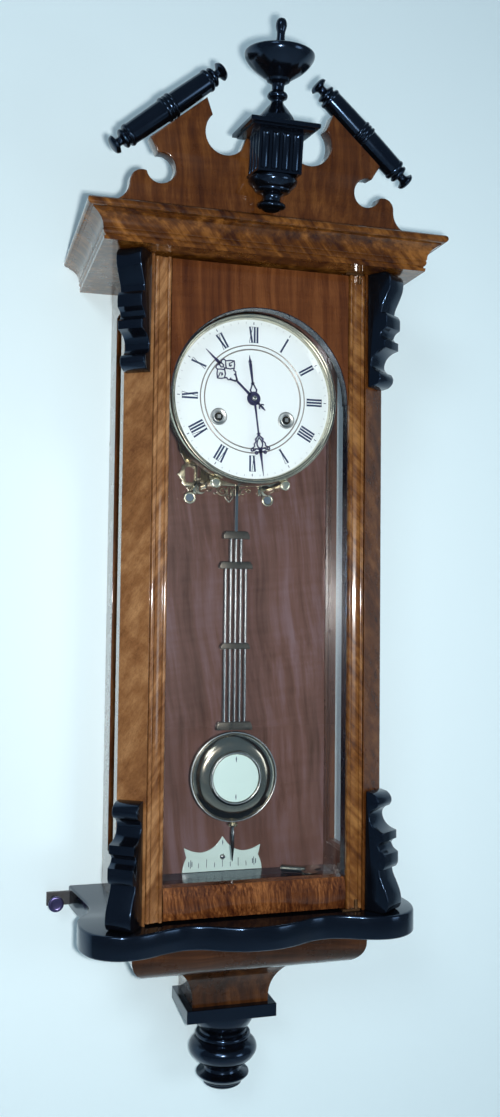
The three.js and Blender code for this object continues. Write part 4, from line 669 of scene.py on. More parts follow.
def buildCrestBoard():
    cut = crestCut
    half = [(cut["half"], 0), (cut["half"], cut["foot"])]
    for degrees in range(9, 91, 9):
        angle = math.radians(degrees)
        half.append((cut["half"] - cut["coveWidth"] * math.sin(angle),
                     cut["coveZ"] + cut["coveHeight"] * (1 - math.cos(angle))))
    half += arcPoints(*cut["horn"])[1:] + arcPoints(*cut["hollow"])[1:]
    half += [(x, crestEdge(x)) for x in cut["slopeEnds"]] + arcPoints(*cut["bay"]) + [cut["neck"]]
    levels = roundedLevels(-cut["thickness"] / 2, cut["thickness"] / 2, cut["easing"])
    board = slabMesh("crest_board_cut", half + mirrored(half[::-1]), levels)
    fit(moved(board, crestMatrix), "crest", "walnut", "case", "crest_board")


# Radius and height along the baluster from its outer tip, in millimetres
balusterTurning = [
    (0, 0, 1), (5, 0.3), (8, 1.8), (9.2, 4.6, 1), (7.6, 5.6), (4.6, 7.2), (4.1, 9.4), (4.6, 11.2),
    (7.4, 12.2, 1), (9, 13.2), (9.6, 14.6), (9, 16), (7.8, 16.8, 1), (7.8, 18, 1), (9.8, 18.4),
    (10.9, 19.6), (11.2, 20.8), (10.8, 22.4, 1), (10.3, 22.8, 1), (10.7, 40), (11, 62.6, 1),
    (11.5, 63, 1), (12.3, 63.8), (12.6, 65), (12.2, 66.2), (11.4, 66.8, 1), (11.4, 67.4, 1), (11.9, 67.8),
    (12.3, 69, 1),
]


def buildBalusters():
    length = crestCut["length"]
    profile = balusterTurning + [(p[0], length - p[1], *p[2:]) for p in balusterTurning[::-1][1:]]
    slope = math.radians(crestCut["slope"])
    for name, side in sides:
        place = shift(side * (crestCut["innerX"] + length * math.cos(slope)), 0,
                      crestCut["innerZ"] - length * math.sin(slope))
        piece = moved(latheMesh("crest_baluster_turned_" + name, profile, 56, 3),
                      crestMatrix @ place @ turn(-side * (90 - crestCut["slope"]), "Y"))
        fit(piece, "black", "ebonised", "case", "crest_baluster_" + name)


# Pedestal; the flutes deepen by shares at so many millimetres from each end
pedestalCut = {
    "half": 22, "bottom": 46.3, "height": 39, "forward": 28, "capHalf": 34.5, "capHeight": 7.6,
    "flutes": 4, "fluteRadius": 4, "fluteDepth": 0.75, "boardFace": -10.3, "urnGap": 0.3,
    "fluteFoot": ((0.2, 0), (2.4, 0), (2.7, 0.5), (3.6, 0.85), (5.4, 1)),
    "fluteHead": ((4.6, 1), (2.8, 0.85), (1.9, 0.5), (1.6, 0), (0, 0)),
}
capTiers = [(0.72, 0, 1), (0.75, 0.03), (0.86, 0.14, 1), (0.88, 0.16, 1), (0.88, 0.36, 1), (0.985, 0.4),
            (1, 0.46), (1, 0.84), (0.985, 0.94), (0.95, 1, 1)]
pendantTurning = [
    (0, -33, 1), (5.3, -33), (7.9, -32), (9, -31, 1), (10, -30.4, 1), (12.9, -29.6), (14.2, -27.8),
    (13.2, -25.6), (10.2, -24.4), (9, -23.4, 1), (8.6, -21), (9.3, -18), (11.7, -16, 1), (15.5, -15.2),
    (17.7, -13.6), (18.1, -12, 1), (20.2, -10.4), (23, -7.4), (24.2, -4), (23.6, -1, 1), (21.6, 0, 1),
    (0, 0.5, 1),
]


def flutedRing(z, share):
    half, radius, flutes = (pedestalCut[k] for k in ("half", "fluteRadius", "flutes"))
    margin = (2 * half - flutes * 2 * radius) / (flutes + 1)
    row = [(-half, -half)]
    for i in range(flutes):
        centre = -half + margin + radius + i * (2 * radius + margin)
        for degrees in range(180, -1, -18):
            angle = math.radians(degrees)
            row.append((centre + radius * math.cos(angle),
                        -half + radius * pedestalCut["fluteDepth"] * share * math.sin(angle)))
    return [(u * c - v * s, u * s + v * c, z) for c, s in ((1, 0), (0, 1), (-1, 0), (0, -1)) for u, v in row]


# Cuts away what lies behind the plane y, which is set against the board
def clippedBehind(piece, y):
    soup = bmesh.new()
    soup.from_mesh(piece.data)
    cut = bmesh.ops.bisect_plane(soup, geom=soup.verts[:] + soup.edges[:] + soup.faces[:],
                                 plane_co=(0, y * mm, 0), plane_no=(0, 1, 0), clear_outer=True)
    edges = [part for part in cut["geom_cut"] if isinstance(part, bmesh.types.BMEdge)]
    bmesh.ops.edgeloop_fill(soup, edges=edges)
    soup.to_mesh(piece.data)
    soup.free()
    smoothed(piece.data)


def buildPedestal():
    cut = pedestalCut
    bottom, top = cut["bottom"], cut["bottom"] + cut["height"]
    rings = [flutedRing(bottom + z, share) for z, share in cut["fluteFoot"]]
    rings += [flutedRing(top - z, share) for z, share in cut["fluteHead"]]
    body = moved(ringMesh("pedestal_body", rings), shift(0, -cut["forward"], 0))
    pendant = moved(latheMesh("pedestal_pendant", pendantTurning, 56), shift(0, -cut["forward"], bottom))
    for part in (body, pendant):
        clippedBehind(part, cut["boardFace"])
    tiers = [(cut["capHalf"] * share, top + cut["capHeight"] * height)
             for share, height in curveThrough(capTiers, 3)]
    cap = moved(ringMesh("pedestal_cap", [tierRing(half, half, z, -half) for half, z in tiers]),
                shift(0, -cut["forward"], 0))
    piece = moved(joined("fluted_pedestal_carved", [body, pendant, cap]), crestMatrix)
    fit(piece, "black", "ebonised", "case", "fluted_pedestal")


urnTurning = [
    (0, 0, 1), (20.4, 0, 1), (20.4, 2, 1), (19, 5.2), (17, 9.5), (13.6, 14), (10.5, 17.8), (8, 20.5),
    (6.2, 22.8, 1), (5.8, 24.6), (7, 26.2, 1), (9.2, 27.6), (10, 29.6), (9.3, 31.8), (7.4, 33.4, 1),
    (6.1, 34.7, 1), (6, 38), (6.5, 40.5, 1), (8.6, 42), (11, 43.2, 1), (11.9, 45.1, 1), (17, 48.4),
    (24, 53.2), (30, 59.2), (33.3, 64.2), (34.2, 67.4), (33.8, 69.2), (31.8, 70.6), (24, 72.8),
    (14, 75.6), (6.8, 77.6, 1), (4.4, 79.8, 1), (3.9, 86), (4.2, 90, 1), (4.8, 92), (5.4, 95.5), (5, 99),
    (3.2, 101.8), (0, 102.6, 1),
]


def buildUrn():
    cut = pedestalCut
    foot = shift(0, -cut["forward"], cut["bottom"] + cut["height"] + cut["capHeight"] + cut["urnGap"])
    piece = moved(latheMesh("urn_finial_turned", urnTurning, 96), crestMatrix @ foot)
    fit(piece, "black", "ebonised", "case", "urn_finial")


def buildCrest():
    buildCrestBoard()
    buildBalusters()
    buildPedestal()
    buildUrn()
    print("crest built")


# Base; the shelf's outline is in shares of its half width and depth
shelfCut = {"half": 170, "depth": 183, "thickness": 23, "easing": 2.2}
shelfShares = [
    (0.96, 0), (0.945, 0.12), (0.915, 0.3), (0.9, 0.43), (0.925, 0.55), (0.985, 0.63), (1, 0.7),
    (0.995, 0.8), (0.95, 0.9), (0.86, 0.965), (0.76, 0.985), (0.64, 0.965), (0.52, 0.92), (0.42, 0.9),
    (0.32, 0.915), (0.2, 0.965), (0.08, 0.995),
]
cushionCut = {"half": 120, "front": -146, "top": -537, "roundTop": -549, "round": 24}
tailCut = {"bottom": -630, "height": 57, "half": 41, "halfFlare": 36, "front": -66, "frontFlare": 38,
           "power": 2.6, "steps": 16}
dropPlace = {"y": -37, "top": -643.5}
dropTurning = [
    (0, 0, 1), (33.9, 0, 1), (33.9, -1.8, 1), (32.8, -7), (30, -12.4), (26.6, -17.4), (24.2, -21.2, 1),
    (25.2, -22.6, 1), (28.4, -23.8), (29.5, -26), (28.8, -28), (27.6, -28.9, 1), (30.4, -30.6),
    (34.4, -34), (36.4, -38.4), (35.9, -43.2), (32.2, -48.8), (26, -53.8), (19.4, -57.6, 1), (18.8, -60),
    (19.6, -62.6, 1), (23.6, -64.4), (28, -65.8, 1), (28.2, -67, 1), (25.2, -70.2), (21.2, -73.2),
    (20, -75, 1), (20.3, -76.4, 1), (17, -78.6), (9, -80.5), (0, -81, 1),
]


def buildBase():
    right = [(x * shelfCut["half"], -y * shelfCut["depth"]) for x, y in shelfShares]
    levels = roundedLevels(case["shelfTop"] - shelfCut["thickness"], case["shelfTop"], shelfCut["easing"])
    shelf = slabMesh("base_shelf_shaped", curveThrough(right + mirrored(right[::-1]), 7), levels, level)
    fit(shelf, "black", "ebonised", "case", "base_shelf")
    cut = cushionCut
    rings = [tierRing(cut["half"], cut["front"], cut["top"])]
    for degrees in range(0, 91, 6):
        angle = math.radians(degrees)
        inset = cut["round"] * (1 - math.cos(angle))
        rings.append(tierRing(cut["half"] - inset, cut["front"] + inset,
                              cut["roundTop"] - cut["round"] * math.sin(angle)))
    fit(ringMesh("base_cushion_shaped", rings), "base", "walnut", "case", "base_cushion")
    cut = tailCut
    rings = []
    for i in range(cut["steps"] + 1):
        share = i / cut["steps"]
        flare = share ** cut["power"]
        half = cut["half"] + cut["halfFlare"] * flare
        front = cut["front"] - cut["frontFlare"] * flare
        rings.append(tierRing(half, front, cut["bottom"] + cut["height"] * share))
    fit(ringMesh("tail_pedestal_shaped", rings), "tail", "walnut", "case", "tail_pedestal")
    easedCopy("tail_block", "black", "ebonised", 0.8)
    drop = moved(latheMesh("drop_finial_turned", dropTurning, 96), shift(0, dropPlace["y"], dropPlace["top"]))
    fit(drop, "black", "ebonised", "case", "drop_finial")
    print("base built")


# Scroll brackets on the canted corners, reach and height in millimetres from the thick end
scrollCut = {"thickness": 26, "easing": 0.9, "x": 123, "y": -148, "standOff": 0.6, "endGap": 0.3,
             "cantWidth": 26, "cantDepth": 18}
scrollProfile = [
    (0, 0, 1), (20.8, 0, 1), (24, 1.4), (26.6, 5), (27.4, 10), (26.4, 17.4), (22.4, 26.6), (18, 35),
    (16.4, 41.2, 1), (21.4, 42.6, 1), (23.4, 46.4), (23.6, 52), (23.4, 57.4, 1), (18, 60.8),
    (15.6, 65, 1), (18, 68.4), (21.5, 70.2, 1), (21.5, 78.4, 1), (14, 80.6), (8.2, 84.8), (5.2, 90.6),
    (5.2, 95.4), (8.2, 99.4), (13.6, 102.2, 1), (15.6, 106), (15, 111), (10.4, 115.4), (3.4, 117, 1),
    (0, 117, 1),
]


def buildScrolls():
    cut = scrollCut
    outline = curveThrough(scrollProfile)[:-1]
    cant = math.atan2(cut["cantDepth"], cut["cantWidth"])
    levels = roundedLevels(-cut["thickness"] / 2, cut["thickness"] / 2, cut["easing"])
    for end, flip, z in (("top", -1, case["soffit"] - cut["endGap"]),
                         ("bottom", 1, case["shelfTop"] + cut["endGap"])):
        for name, side in sides:
            full = "scroll_" + end + "_" + name
            piece = slabMesh(full + "_carved", [(reach, flip * along) for reach, along in outline], levels)
            place = shift(side * (cut["x"] + math.sin(cant) * cut["standOff"]),
                          cut["y"] - math.cos(cant) * cut["standOff"], z)
            moved(piece, place @ turn(side * math.degrees(cant) - 90, "Z"))
            fit(piece, "black", "ebonised", "case", full)
    print("scroll brackets built")


# Door; the stile's profile is in shares of its width and of the moulding's depth
doorCut = {
    "half": 110, "stileInner": 92.5, "moulding": 10, "back": -137, "rebate": -140.6, "lip": 0.6, "top": 128.4,
    "bottom": -511.4, "glassHalf": 97.5, "glassTop": 112.4, "glassBottom": -485.4, "openingBottom": -480.4,
    "archZ": -5, "archReveal": 1, "archSteps": 72, "archGap": 0.6,
    "archEdge": ((0.32, -154), (0.12, -153.8), (0, -153.2)),
    "liningThick": 0.7, "liningFront": -151.6, "liningArch": ((0, -153), (0.4, -153.5), (0.7, -153.4)),
    "railFront": -151, "railBulge": 5, "railSteps": 16,
}
stileProfile = [
    (0.034, 0.5, 1), (0.04, 0.32), (0.06, 0.12), (0.12, 0.01), (0.18, 0), (0.24, 0.04), (0.27, 0.14, 1),
    (0.29, 0.3, 1), (0.36, 0.27), (0.46, 0.2), (0.56, 0.14), (0.66, 0.11), (0.72, 0.1, 1),
    (0.735, 0.17, 1), (0.77, 0.05), (0.84, 0), (0.92, 0.01), (0.97, 0.1), (1, 0.3, 1),
]


def buildDoor():
    cut = doorCut
    back, rebate, inner, archZ = (cut[k] for k in ("back", "rebate", "stileInner", "archZ"))
    section = [(inner + (cut["half"] - inner) * x, case["front"] + cut["moulding"] * y)
               for x, y in curveThrough(stileProfile)]
    section += [(cut["half"], back), (cut["glassHalf"], back), (cut["glassHalf"], rebate),
                (inner + cut["lip"], rebate)]
    for name, side in sides[::-1]:
        stile = postMesh("door_stile_moulded_" + name, section, side, (cut["bottom"], cut["top"]))
        fit(stile, "stile" if side < 0 else "stileRight", "walnut", "door", "door_stile_" + name)

    outer = inner + cut["liningThick"]
    section = oblong(inner, outer, cut["liningFront"], rebate)
    linings = [postMesh("lining", section, side, (cut["openingBottom"], archZ)) for name, side in sides]
    radius = inner - cut["archReveal"]
    arch = (*cut["liningArch"], (cut["liningThick"], rebate), (0, rebate))
    section = [(radius + out, y) for out, y in arch]
    angles = [math.pi * i / cut["archSteps"] for i in range(cut["archSteps"] + 1)]
    linings.append(ringMesh("lining", [[(r * math.cos(a), y, r * math.sin(a) + archZ) for r, y in section]
                                       for a in angles]))
    fit(joined("door_lining", linings), "lining", "ebonised", "door")

    rings = []
    for out, y in (*cut["archEdge"], (0, rebate)):
        arch = arcPoints(0, archZ, radius + cut["archGap"] + out, 180, 0, cut["archSteps"])
        outline = [(-inner, archZ), *arch, (inner, archZ), (inner, cut["top"]), (-inner, cut["top"])]
        rings.append([(x, y, z) for x, z in outline])
    panel = ringMesh("door_spandrel_panel", rings)
    section = [(rebate, cut["glassTop"]), (back, cut["glassTop"]), (back, cut["top"]), (rebate, cut["top"])]
    railTop = railMesh("door_spandrel_back", section, (-inner, inner))
    fit(joined("door_spandrel_cut", [panel, railTop]), "panel", "walnut", "door", "door_spandrel")

    section = []
    tall = cut["openingBottom"] - cut["bottom"]
    for i in range(cut["railSteps"] + 1):
        share = i / cut["railSteps"]
        bulge = cut["railBulge"] * math.sin(math.pi * (0.1 + 0.8 * share))
        section.append((cut["railFront"] - bulge, cut["bottom"] + tall * share))
    section += [(rebate, cut["openingBottom"]), (rebate, cut["glassBottom"]), (back, cut["glassBottom"]),
                (back, cut["bottom"])]
    rail = railMesh("door_bottom_rail_shaped", section, (-inner, inner))
    fit(rail, "rail", "walnut", "door", "door_bottom_rail")
    for node in ("door_pivot_top", "door_pivot_bottom"):
        easedCopy(node, "pivot", "brass", 0.3)
    print("door built")


# Dial, with turned parts as (radius, distance in front of the wall)
dial = {
    "face": 124, "numeralInner": 58.3, "numeralOuter": 74.6, "holeX": 36, "holeZ": -20, "holeRadius": 5.6,
    "centreRadius": 5, "drill": (-121, -126), "ink": (0.16, 0.01), "ringRadii": (50.6, 54.9),
    "foot": (2, -122, -112.3), "footX": 38, "footZ": 42,
    "markInner": 78, "hourInner": 76.9, "markOuter": 79.6, "markWidth": 0.3, "hourWidth": 0.8,
}
numerals = ["XII", "I", "II", "III", "IIII", "V", "VI", "VII", "VIII", "IX", "X", "XI"]
letterWidths = {"I": 3.0, "V": 4.8, "X": 4.9}
strokes = {"stem": 1.95, "thick": 1.9, "thin": 0.55, "serif": 0.28, "serifInset": 0.4}
dialTurning = [(0, 123.2, 1), (51, 123.2, 1), (52, 124, 1), (84.7, 124, 1), (84.7, 122, 1), (0, 122, 1)]
ringTurning = [(0, 123.2, 1), (0, 124.1), (0.5, 124.6), (0.9, 124.5), (1.3, 124, 1), (1.3, 123.2, 1)]
collarTurning = [
    (4.2, 123.1, 1), (4.2, 124.1, 1), (4.5, 124.4), (5.2, 124.4, 1), (5.6, 124.2, 1), (7.4, 124.7),
    (8.3, 124.7), (8.7, 124.2, 1), (8.7, 123.3, 1), (4.2, 123.1, 1),
]
bezelTurning = [
    (85.2, 115.9, 1), (89, 115.9, 1), (89, 125.6, 1), (88.8, 127.8), (88, 130.4), (86.8, 131.9),
    (85.8, 132.1), (84.9, 131.6), (84.4, 130.4, 1), (83.9, 129.9, 1), (83.2, 129.6), (82.6, 128.6, 1),
    (82.3, 126.6), (82, 124.3, 1), (85.2, 124.3, 1),
]


# Bars of a Roman numeral as (x at foot, x at head, width), with its whole width
def numeralBars(text):
    total = sum(letterWidths[letter] for letter in text)
    x = -total / 2
    bars = []
    for letter in text:
        wide = letterWidths[letter]
        if letter == "I":
            bars.append((x + wide / 2, x + wide / 2, strokes["stem"]))
        elif letter == "V":
            bars.append((x + wide / 2 + 0.2, x + 1, strokes["thick"]))
            bars.append((x + wide / 2, x + wide - 0.6, strokes["thin"]))
        else:
            bars.append((x + wide - 1.1, x + 1.1, strokes["thick"]))
            bars.append((x + 0.7, x + wide - 0.7, strokes["thin"]))
        x += wide
    return bars, total


def buildDialFace():
    plate = turnedFront("dial_plate_enamelled", dialTurning, 128, 1)
    cutters = [discMesh("cut", dial["holeRadius"], *dial["drill"], 48, side * dial["holeX"], dial["holeZ"])
               for name, side in sides]
    cutAway(plate, *cutters, discMesh("cut", dial["centreRadius"], *dial["drill"], 32))
    plate.data.set_sharp_from_angle(angle=math.radians(12))
    fit(plate, "enamel", "enamel", "case", "dial_plate")
    plate.data.materials.append(finishes["brass"])  # the bare back of the dial
    for face in plate.data.polygons:
        face.material_index = 1 if face.normal.y > 0.9 else 0
    feet = [discMesh("foot", *dial["foot"], 24, sx * dial["footX"], sz * dial["footZ"])
            for sx in (-1, 1) for sz in (-1, 1)]
    fit(joined("dial_feet", feet), "brass", "brass", "case")
    rings = [turnedFront("bead", [(radius + p[0], *p[1:]) for p in ringTurning], 128, 3, True)
             for radius in dial["ringRadii"]]
    fit(joined("dial_ring", rings), "silver", "brass", "case")
    collars = [turnedFront("collar", collarTurning, 56, 3, False, side * dial["holeX"], dial["holeZ"])
               for name, side in sides]
    fit(joined("winding_collars", collars), "steel", "brass", "case")


# A mark at a distance across and a radius, turned from twelve to its hour
def dialPoint(across, radius, angle):
    c, s = math.cos(angle), math.sin(angle)
    return (across * c + radius * s, radius * c - across * s)


def buildNumerals():
    low, high = (-dial["face"] - rise for rise in dial["ink"])
    inner, outer = dial["numeralInner"], dial["numeralOuter"]
    lines = []
    for hour, text in enumerate(numerals):
        bars, total = numeralBars(text)
        angle = math.radians(hour * 30)
        reach = total / 2 - strokes["serifInset"]
        for foot, head, width in bars:
            lines.append([(*dialPoint(foot, inner, angle), width), (*dialPoint(head, outer, angle), width)])
        for radius in (inner, outer):
            lines.append([(*dialPoint(across, radius, angle), strokes["serif"])
                          for across in (-reach, reach)])
    fit(strokeMesh("dial_numerals", lines, low, high), "ink", "blued_steel", "case")
    ticks = []
    for minute in range(60):
        kind = "mark" if minute % 5 else "hour"
        angle = math.radians(minute * 6)
        ticks.append([(*dialPoint(0, radius, angle), dial[kind + "Width"])
                      for radius in (dial[kind + "Inner"], dial["markOuter"])])
    fit(strokeMesh("dial_minute_marks", ticks, low, high), "ink", "blued_steel", "case")


def buildDial():
    fit(turnedFront("dial_bezel_turned", bezelTurning, 160, 4, True), "bezel", "brass", "case", "dial_bezel")
    buildDialFace()
    buildNumerals()
    print("dial built")


# Hands, drawn pointing to twelve as lines of (x, z, width) and then turned to the time
hands = {
    "hour": {"turn": -46.9, "front": 127, "bore": 4.1, "foot": 7, "rim": 7.2, "face": 7},
    "minute": {"turn": 172.4, "front": 129.4, "bore": 2.8, "foot": 4.9, "rim": 5, "face": 4.8},
    "thick": 0.8, "widen": 1.22,
}
handNutTurning = [(0, 129.5, 1), (2.3, 129.6, 1), (2.4, 130.4), (1.6, 131.2), (0, 131.3, 1)]


def loop(x, z, radiusX, radiusZ, width, steps):
    angles = [2 * math.pi * i / steps for i in range(steps + 1)]
    return [(x + radiusX * math.cos(a), z + radiusZ * math.sin(a), width) for a in angles]


hourLines = [
    [(0, 5, 2.4), (0, 14, 1.8), (0, 24, 1.9)], [(-2.2, 26.6, 1), (0, 25, 2.2), (2.2, 26.6, 1)],
    [(-1.6, 41.4, 1.2), (0, 43, 1.6), (1.6, 41.4, 1.2)],
    [(0, 50, 1.8), (0, 53.6, 2.8), (0, 57, 1.6), (0, 63, 1.2), (0, 70, 0.3)],
    [(0, -5, 2.2), (0, -9.4, 1.6), (0, -13, 1.8), (0, -17, 0.6)],
    [(-3.2, -11.8, 1.2), (-1.6, -9.8, 1), (0, -10.6, 1.4), (1.6, -9.8, 1), (3.2, -11.8, 1.2)],
]
hourHalf = [
    [(0.6, 25.4, 1.5), (2.4, 28, 1.2), (3.6, 30.2, 1.6), (2.6, 31.8, 1)],
    [(3.6, 30.2, 1.3), (5.9, 32.2, 1), (5.4, 34.6, 1.2), (7.4, 36, 1.1)],
    [(7.4, 36, 1.1), (10.2, 38, 1), (12.8, 41, 1.1), (10, 44.4, 1), (6.2, 47.2, 1.1), (3.6, 44.8, 1),
     (1.2, 41.6, 1.3), (3.6, 38.2, 1), (7.4, 36, 1.1)],
    [(12.8, 41, 0.9), (9.4, 41.8, 0.9), (7, 42.8, 0.9), (5.6, 41, 1.2), (6.8, 39.6, 1.4)],
    [(6.8, 40.9, 1.6), (6.8, 39.4, 1.6)],
    [(6.2, 47.2, 1.1), (6.4, 49.4, 1), (4, 50.6, 1), (1.6, 49.4, 1.2), (0, 51.6, 1.4)],
    [(0, 44.6, 1.2), (1.8, 46.2, 1), (1.4, 48.6, 1), (0, 50, 1)],
]
minuteLines = [
    [(0, 4, 1.9), (0, 20, 1.3), (0, 37, 1.3)], [(-1.9, 36.4, 1), (0, 37, 2), (1.9, 36.4, 1)],
    [(0, 52, 1.5), (0, 57, 2.4), (0, 62, 1.7), (0, 70, 1.1), (0, 80, 0.3)],
    [(-1.8, -15, 1.1), (0, -15.6, 1.9), (1.8, -15, 1.1)],
    [(0, -14.4, 1.4), (0, -18, 1.5), (0, -28, 2.2), (0, -35.6, 2.7), (0, -36.4, 1.3), (0, -37, 1.3),
     (0, -38.4, 2), (0, -40, 1.3), (0, -44, 0.3)],
    [(-1.9, -37.4, 0.9), (1.9, -37.4, 0.9)],
]
minuteHalf = [
    [(0, 38, 1.5), (2.2, 40.2, 1.1), (4, 42.2, 1.7), (3.6, 44.2, 1), (6, 46.8, 1.1), (5.8, 49.2, 1),
     (9.2, 51.4, 1.1)],
    [(0, 40.4, 1), (2, 43.6, 1), (3.1, 46.8, 1), (2.4, 49.8, 1), (0, 52.2, 1.2)],
    loop(8.6, 52.4, 1.3, 1.4, 1.1, 12),
    [(8.6, 53.6, 1), (6.6, 53.4, 1), (4.2, 51.6, 1.2), (1.6, 52.6, 1.1), (0, 54.6, 1.6)],
    loop(4.7, 55.9, 1.2, 1.3, 1.1, 12),
    [(3.6, 55.4, 1), (1.8, 54.6, 1.1), (0, 56.6, 1.4)],
    [(2.2, -5, 1.2), (3.4, -8.4, 1.3), (2.2, -10.6, 1), (0.6, -14.6, 1.2)],
]


def buildHand(kind, lines, half):
    cut = hands[kind]
    front, back = cut["front"], cut["front"] - hands["thick"]
    lines = [[(p[0], p[1], p[2] * hands["widen"]) for p in line]
             for line in lines + [mirrored(row, side) for name, side in sides for row in half]]
    blade = strokeMesh(kind + "_blade", lines, -front, -back)
    hubTurning = [(cut["bore"], back, 1), (cut["foot"], back, 1), (cut["rim"], back + 0.4),
                  (cut["face"], front, 1), (cut["bore"], front, 1)]
    hub = turnedFront(kind + "_hub", hubTurning, 48, 1, True)
    piece = moved(joined(kind + "_hand_pierced", [blade, hub]), turn(cut["turn"], "Y"))
    fit(piece, "blued", "blued_steel", kind + "_arm", kind + "_hand")


def buildHands():
    buildHand("hour", hourLines, hourHalf)
    buildHand("minute", minuteLines, minuteHalf)
    fit(turnedFront("hand_nut", handNutTurning, 32, 2), "nickel", "brass", "minute_arm")
    print("hands built")


def buildMovement():
    for node in ("front_plate", "back_plate"):
        easedCopy(node, "brass", "brass", 0.25, 1)
    dress("brass", "time_barrel", "strike_barrel", "centre_wheel", "third_wheel", "escape_wheel",
          "minute_wheel", "hour_wheel", "strike_hammer")
    dress("steel", "cannon_pinion", "anchor_crutch", "time_winding_arbor", "strike_winding_arbor")
    dress("blued", "gong")
    for node in ("wall_hanger", "steady_bar"):
        easedCopy(node, "iron", "iron", 0.4)
    print("movement dressed")


# Bracket under the movement; the end plate and its window are in shares of their half sizes
bracket = {
    "front": -36, "back": -32, "plateX": 45.1, "plateHalf": 8.9, "plateZ": -70.3, "plateTall": 12.8,
    "windowHalf": 5, "windowTall": 8.3, "armX": 37, "armZ": -87, "ringX": 44.5, "ringZ": -95.3,
    "railHalf": 40, "railZ": (-81, -73), "rootHalf": 4, "rootZ": (-91, -76), "rimGap": 1.5, "rimWidth": 0.7,
    "rim": (-0.5, 0.2), "railInset": 0.8, "scrollInset": 0.4, "easing": 0.6, "endEasing": 0.7,
    "stud": (3.6, -32, -24), "studX": 27.8, "studZ": -77, "inlay": (4.25, -34.6, -33.2),
}
endPlate = [(-0.55, 1), (0.55, 1), (0.7, 0.9), (1, 0.78), (1, -0.8), (0.86, -0.86), (0.7, -1), (-0.7, -1),
            (-0.86, -0.86), (-1, -0.8), (-1, -0.42), (-1.2, -0.36), (-1.3, -0.16), (-1.62, 0), (-1.3, 0.16),
            (-1.2, 0.36), (-1, 0.42), (-1, 0.78), (-0.7, 0.9)]
armTurning = [
    (0, 30, 1), (4, 30, 1), (4, 38, 1), (5.2, 38.6), (5.4, 40), (4.2, 41.4), (3.2, 43), (3.2, 47),
    (3.8, 49.6), (5.6, 50.6), (6.3, 52), (5.6, 53.4), (3.8, 54.4), (3.4, 57), (4.4, 58.8), (4.9, 60),
    (4.4, 61.2), (3.6, 63), (3.6, 88), (4.4, 90.4), (4.9, 92), (4.4, 93.6), (3.9, 95, 1), (3.9, 112.4, 1),
    (2.3, 112.6, 1), (2.3, 115, 1), (5.2, 115.2), (5.6, 116.8), (5.5, 118.8), (4.6, 120.2), (2.6, 120.5),
    (0, 120.5, 1),
]
windowShares = [(-1, -0.8), (-0.7, -1), (0.7, -1), (1, -0.8), (1, 0.8), (0.7, 1), (-0.7, 1), (-1, 0.8)]
rimShares = [(-1, -0.82), (-0.7, -1), (0.7, -1), (1, -0.82), (1, 0.82), (0.7, 1), (-0.7, 1), (-1, 0.82),
             (-1, -0.82)]
ringProfile = [(4.2, 32.1, 1), (4.2, 35.2), (4.7, 35.9), (6.1, 36), (6.9, 35.2), (6.9, 32.8), (6.2, 32),
               (4.2, 32.1, 1)]
scrollwork = (
    ([arcPoints(7.6, -87, 6.2, 80, -496, 30, 1.3)], 1.3),
    ([[(7.4, -80.8), (9.6, -80.4)], [(0.6, -82), (2.6, -85), (1.6, -89), (3.4, -92)]], 1.3),
    ([[(13.4, -86), (16.4, -83.6), (19, -84.6), (20, -82)], [(13, -89.4), (16, -90.4), (17.4, -88.4)]], 1.1),
    ([arcPoints(22.6, -85.4, 3, 150, 546, 30, 0.9)], 1.0),
    ([[(4.4, -92.6), (3, -95.4), (0.6, -98.4), (0, -99)], [(0.2, -91), (0, -95)]], 1.2),
    ([[(41.6, -83.4), (43.2, -86.4), (44.5, -88.8)], [(47.4, -83.4), (45.8, -86.4), (44.5, -88.8)],
      [(40.4, -84.4), (44.5, -83.4), (48.6, -84.4)]], 1.4),
    ([arcPoints(45.1, -57.6, 2.8, -90, 270, 16, 0.9)], 1.0),
)


def buildBracket():
    cut = bracket
    front, back = cut["front"], cut["back"]
    cast = roundedLevels(front, back, cut["easing"])
    scrollLevels = (front + cut["scrollInset"], back - cut["scrollInset"])
    rail = oblong(-cut["railHalf"], cut["railHalf"], *cut["railZ"])
    parts = [slabMesh("rail", rail, roundedLevels(front + cut["railInset"], back, cut["easing"]))]
    inlays = []

    def around(shares, halfX, halfZ, flip=1):
        return [(side * cut["plateX"] + flip * x * halfX, cut["plateZ"] + z * halfZ) for x, z in shares]

    for name, side in sides:
        outer = around(endPlate, cut["plateHalf"], cut["plateTall"], -side)
        plate = slabMesh("end", outer, roundedLevels(front, back, cut["endEasing"]))
        window = around(windowShares, cut["windowHalf"], cut["windowTall"])
        cutAway(plate, slabMesh("window", window, [(0, front - 2), (0, back + 2)]))
        rim = around(rimShares, cut["windowHalf"] + cut["rimGap"], cut["windowTall"] + cut["rimGap"])
        armX, ringX = side * cut["armX"], side * cut["ringX"]
        root = oblong(armX - cut["rootHalf"], armX + cut["rootHalf"], *cut["rootZ"])
        parts += [
            plate, strokeMesh("rim", [rim], *[front + rise for rise in cut["rim"]], cut["rimWidth"]),
            slabMesh("root", root, cast),
            turnedFront("arm", armTurning, 40, 3, False, armX, cut["armZ"]),
            discMesh("stud", *cut["stud"], 32, side * cut["studX"], cut["studZ"]),
            turnedFront("ring", ringProfile, 56, 3, False, ringX, cut["ringZ"]),
        ]
        inlays.append(discMesh("inlay", *cut["inlay"], 48, ringX, cut["ringZ"]))
        for lines, width in scrollwork:
            lines = [mirrored(line, side) for line in lines]
            parts.append(strokeMesh("scrollwork", lines, *scrollLevels, width))
    fit(joined("movement_bracket_cast", parts), "paleBrass", "brass", "case", "movement_bracket")
    fit(joined("bracket_inlays", inlays), "slate", "iron", "case")
    print("bracket built")


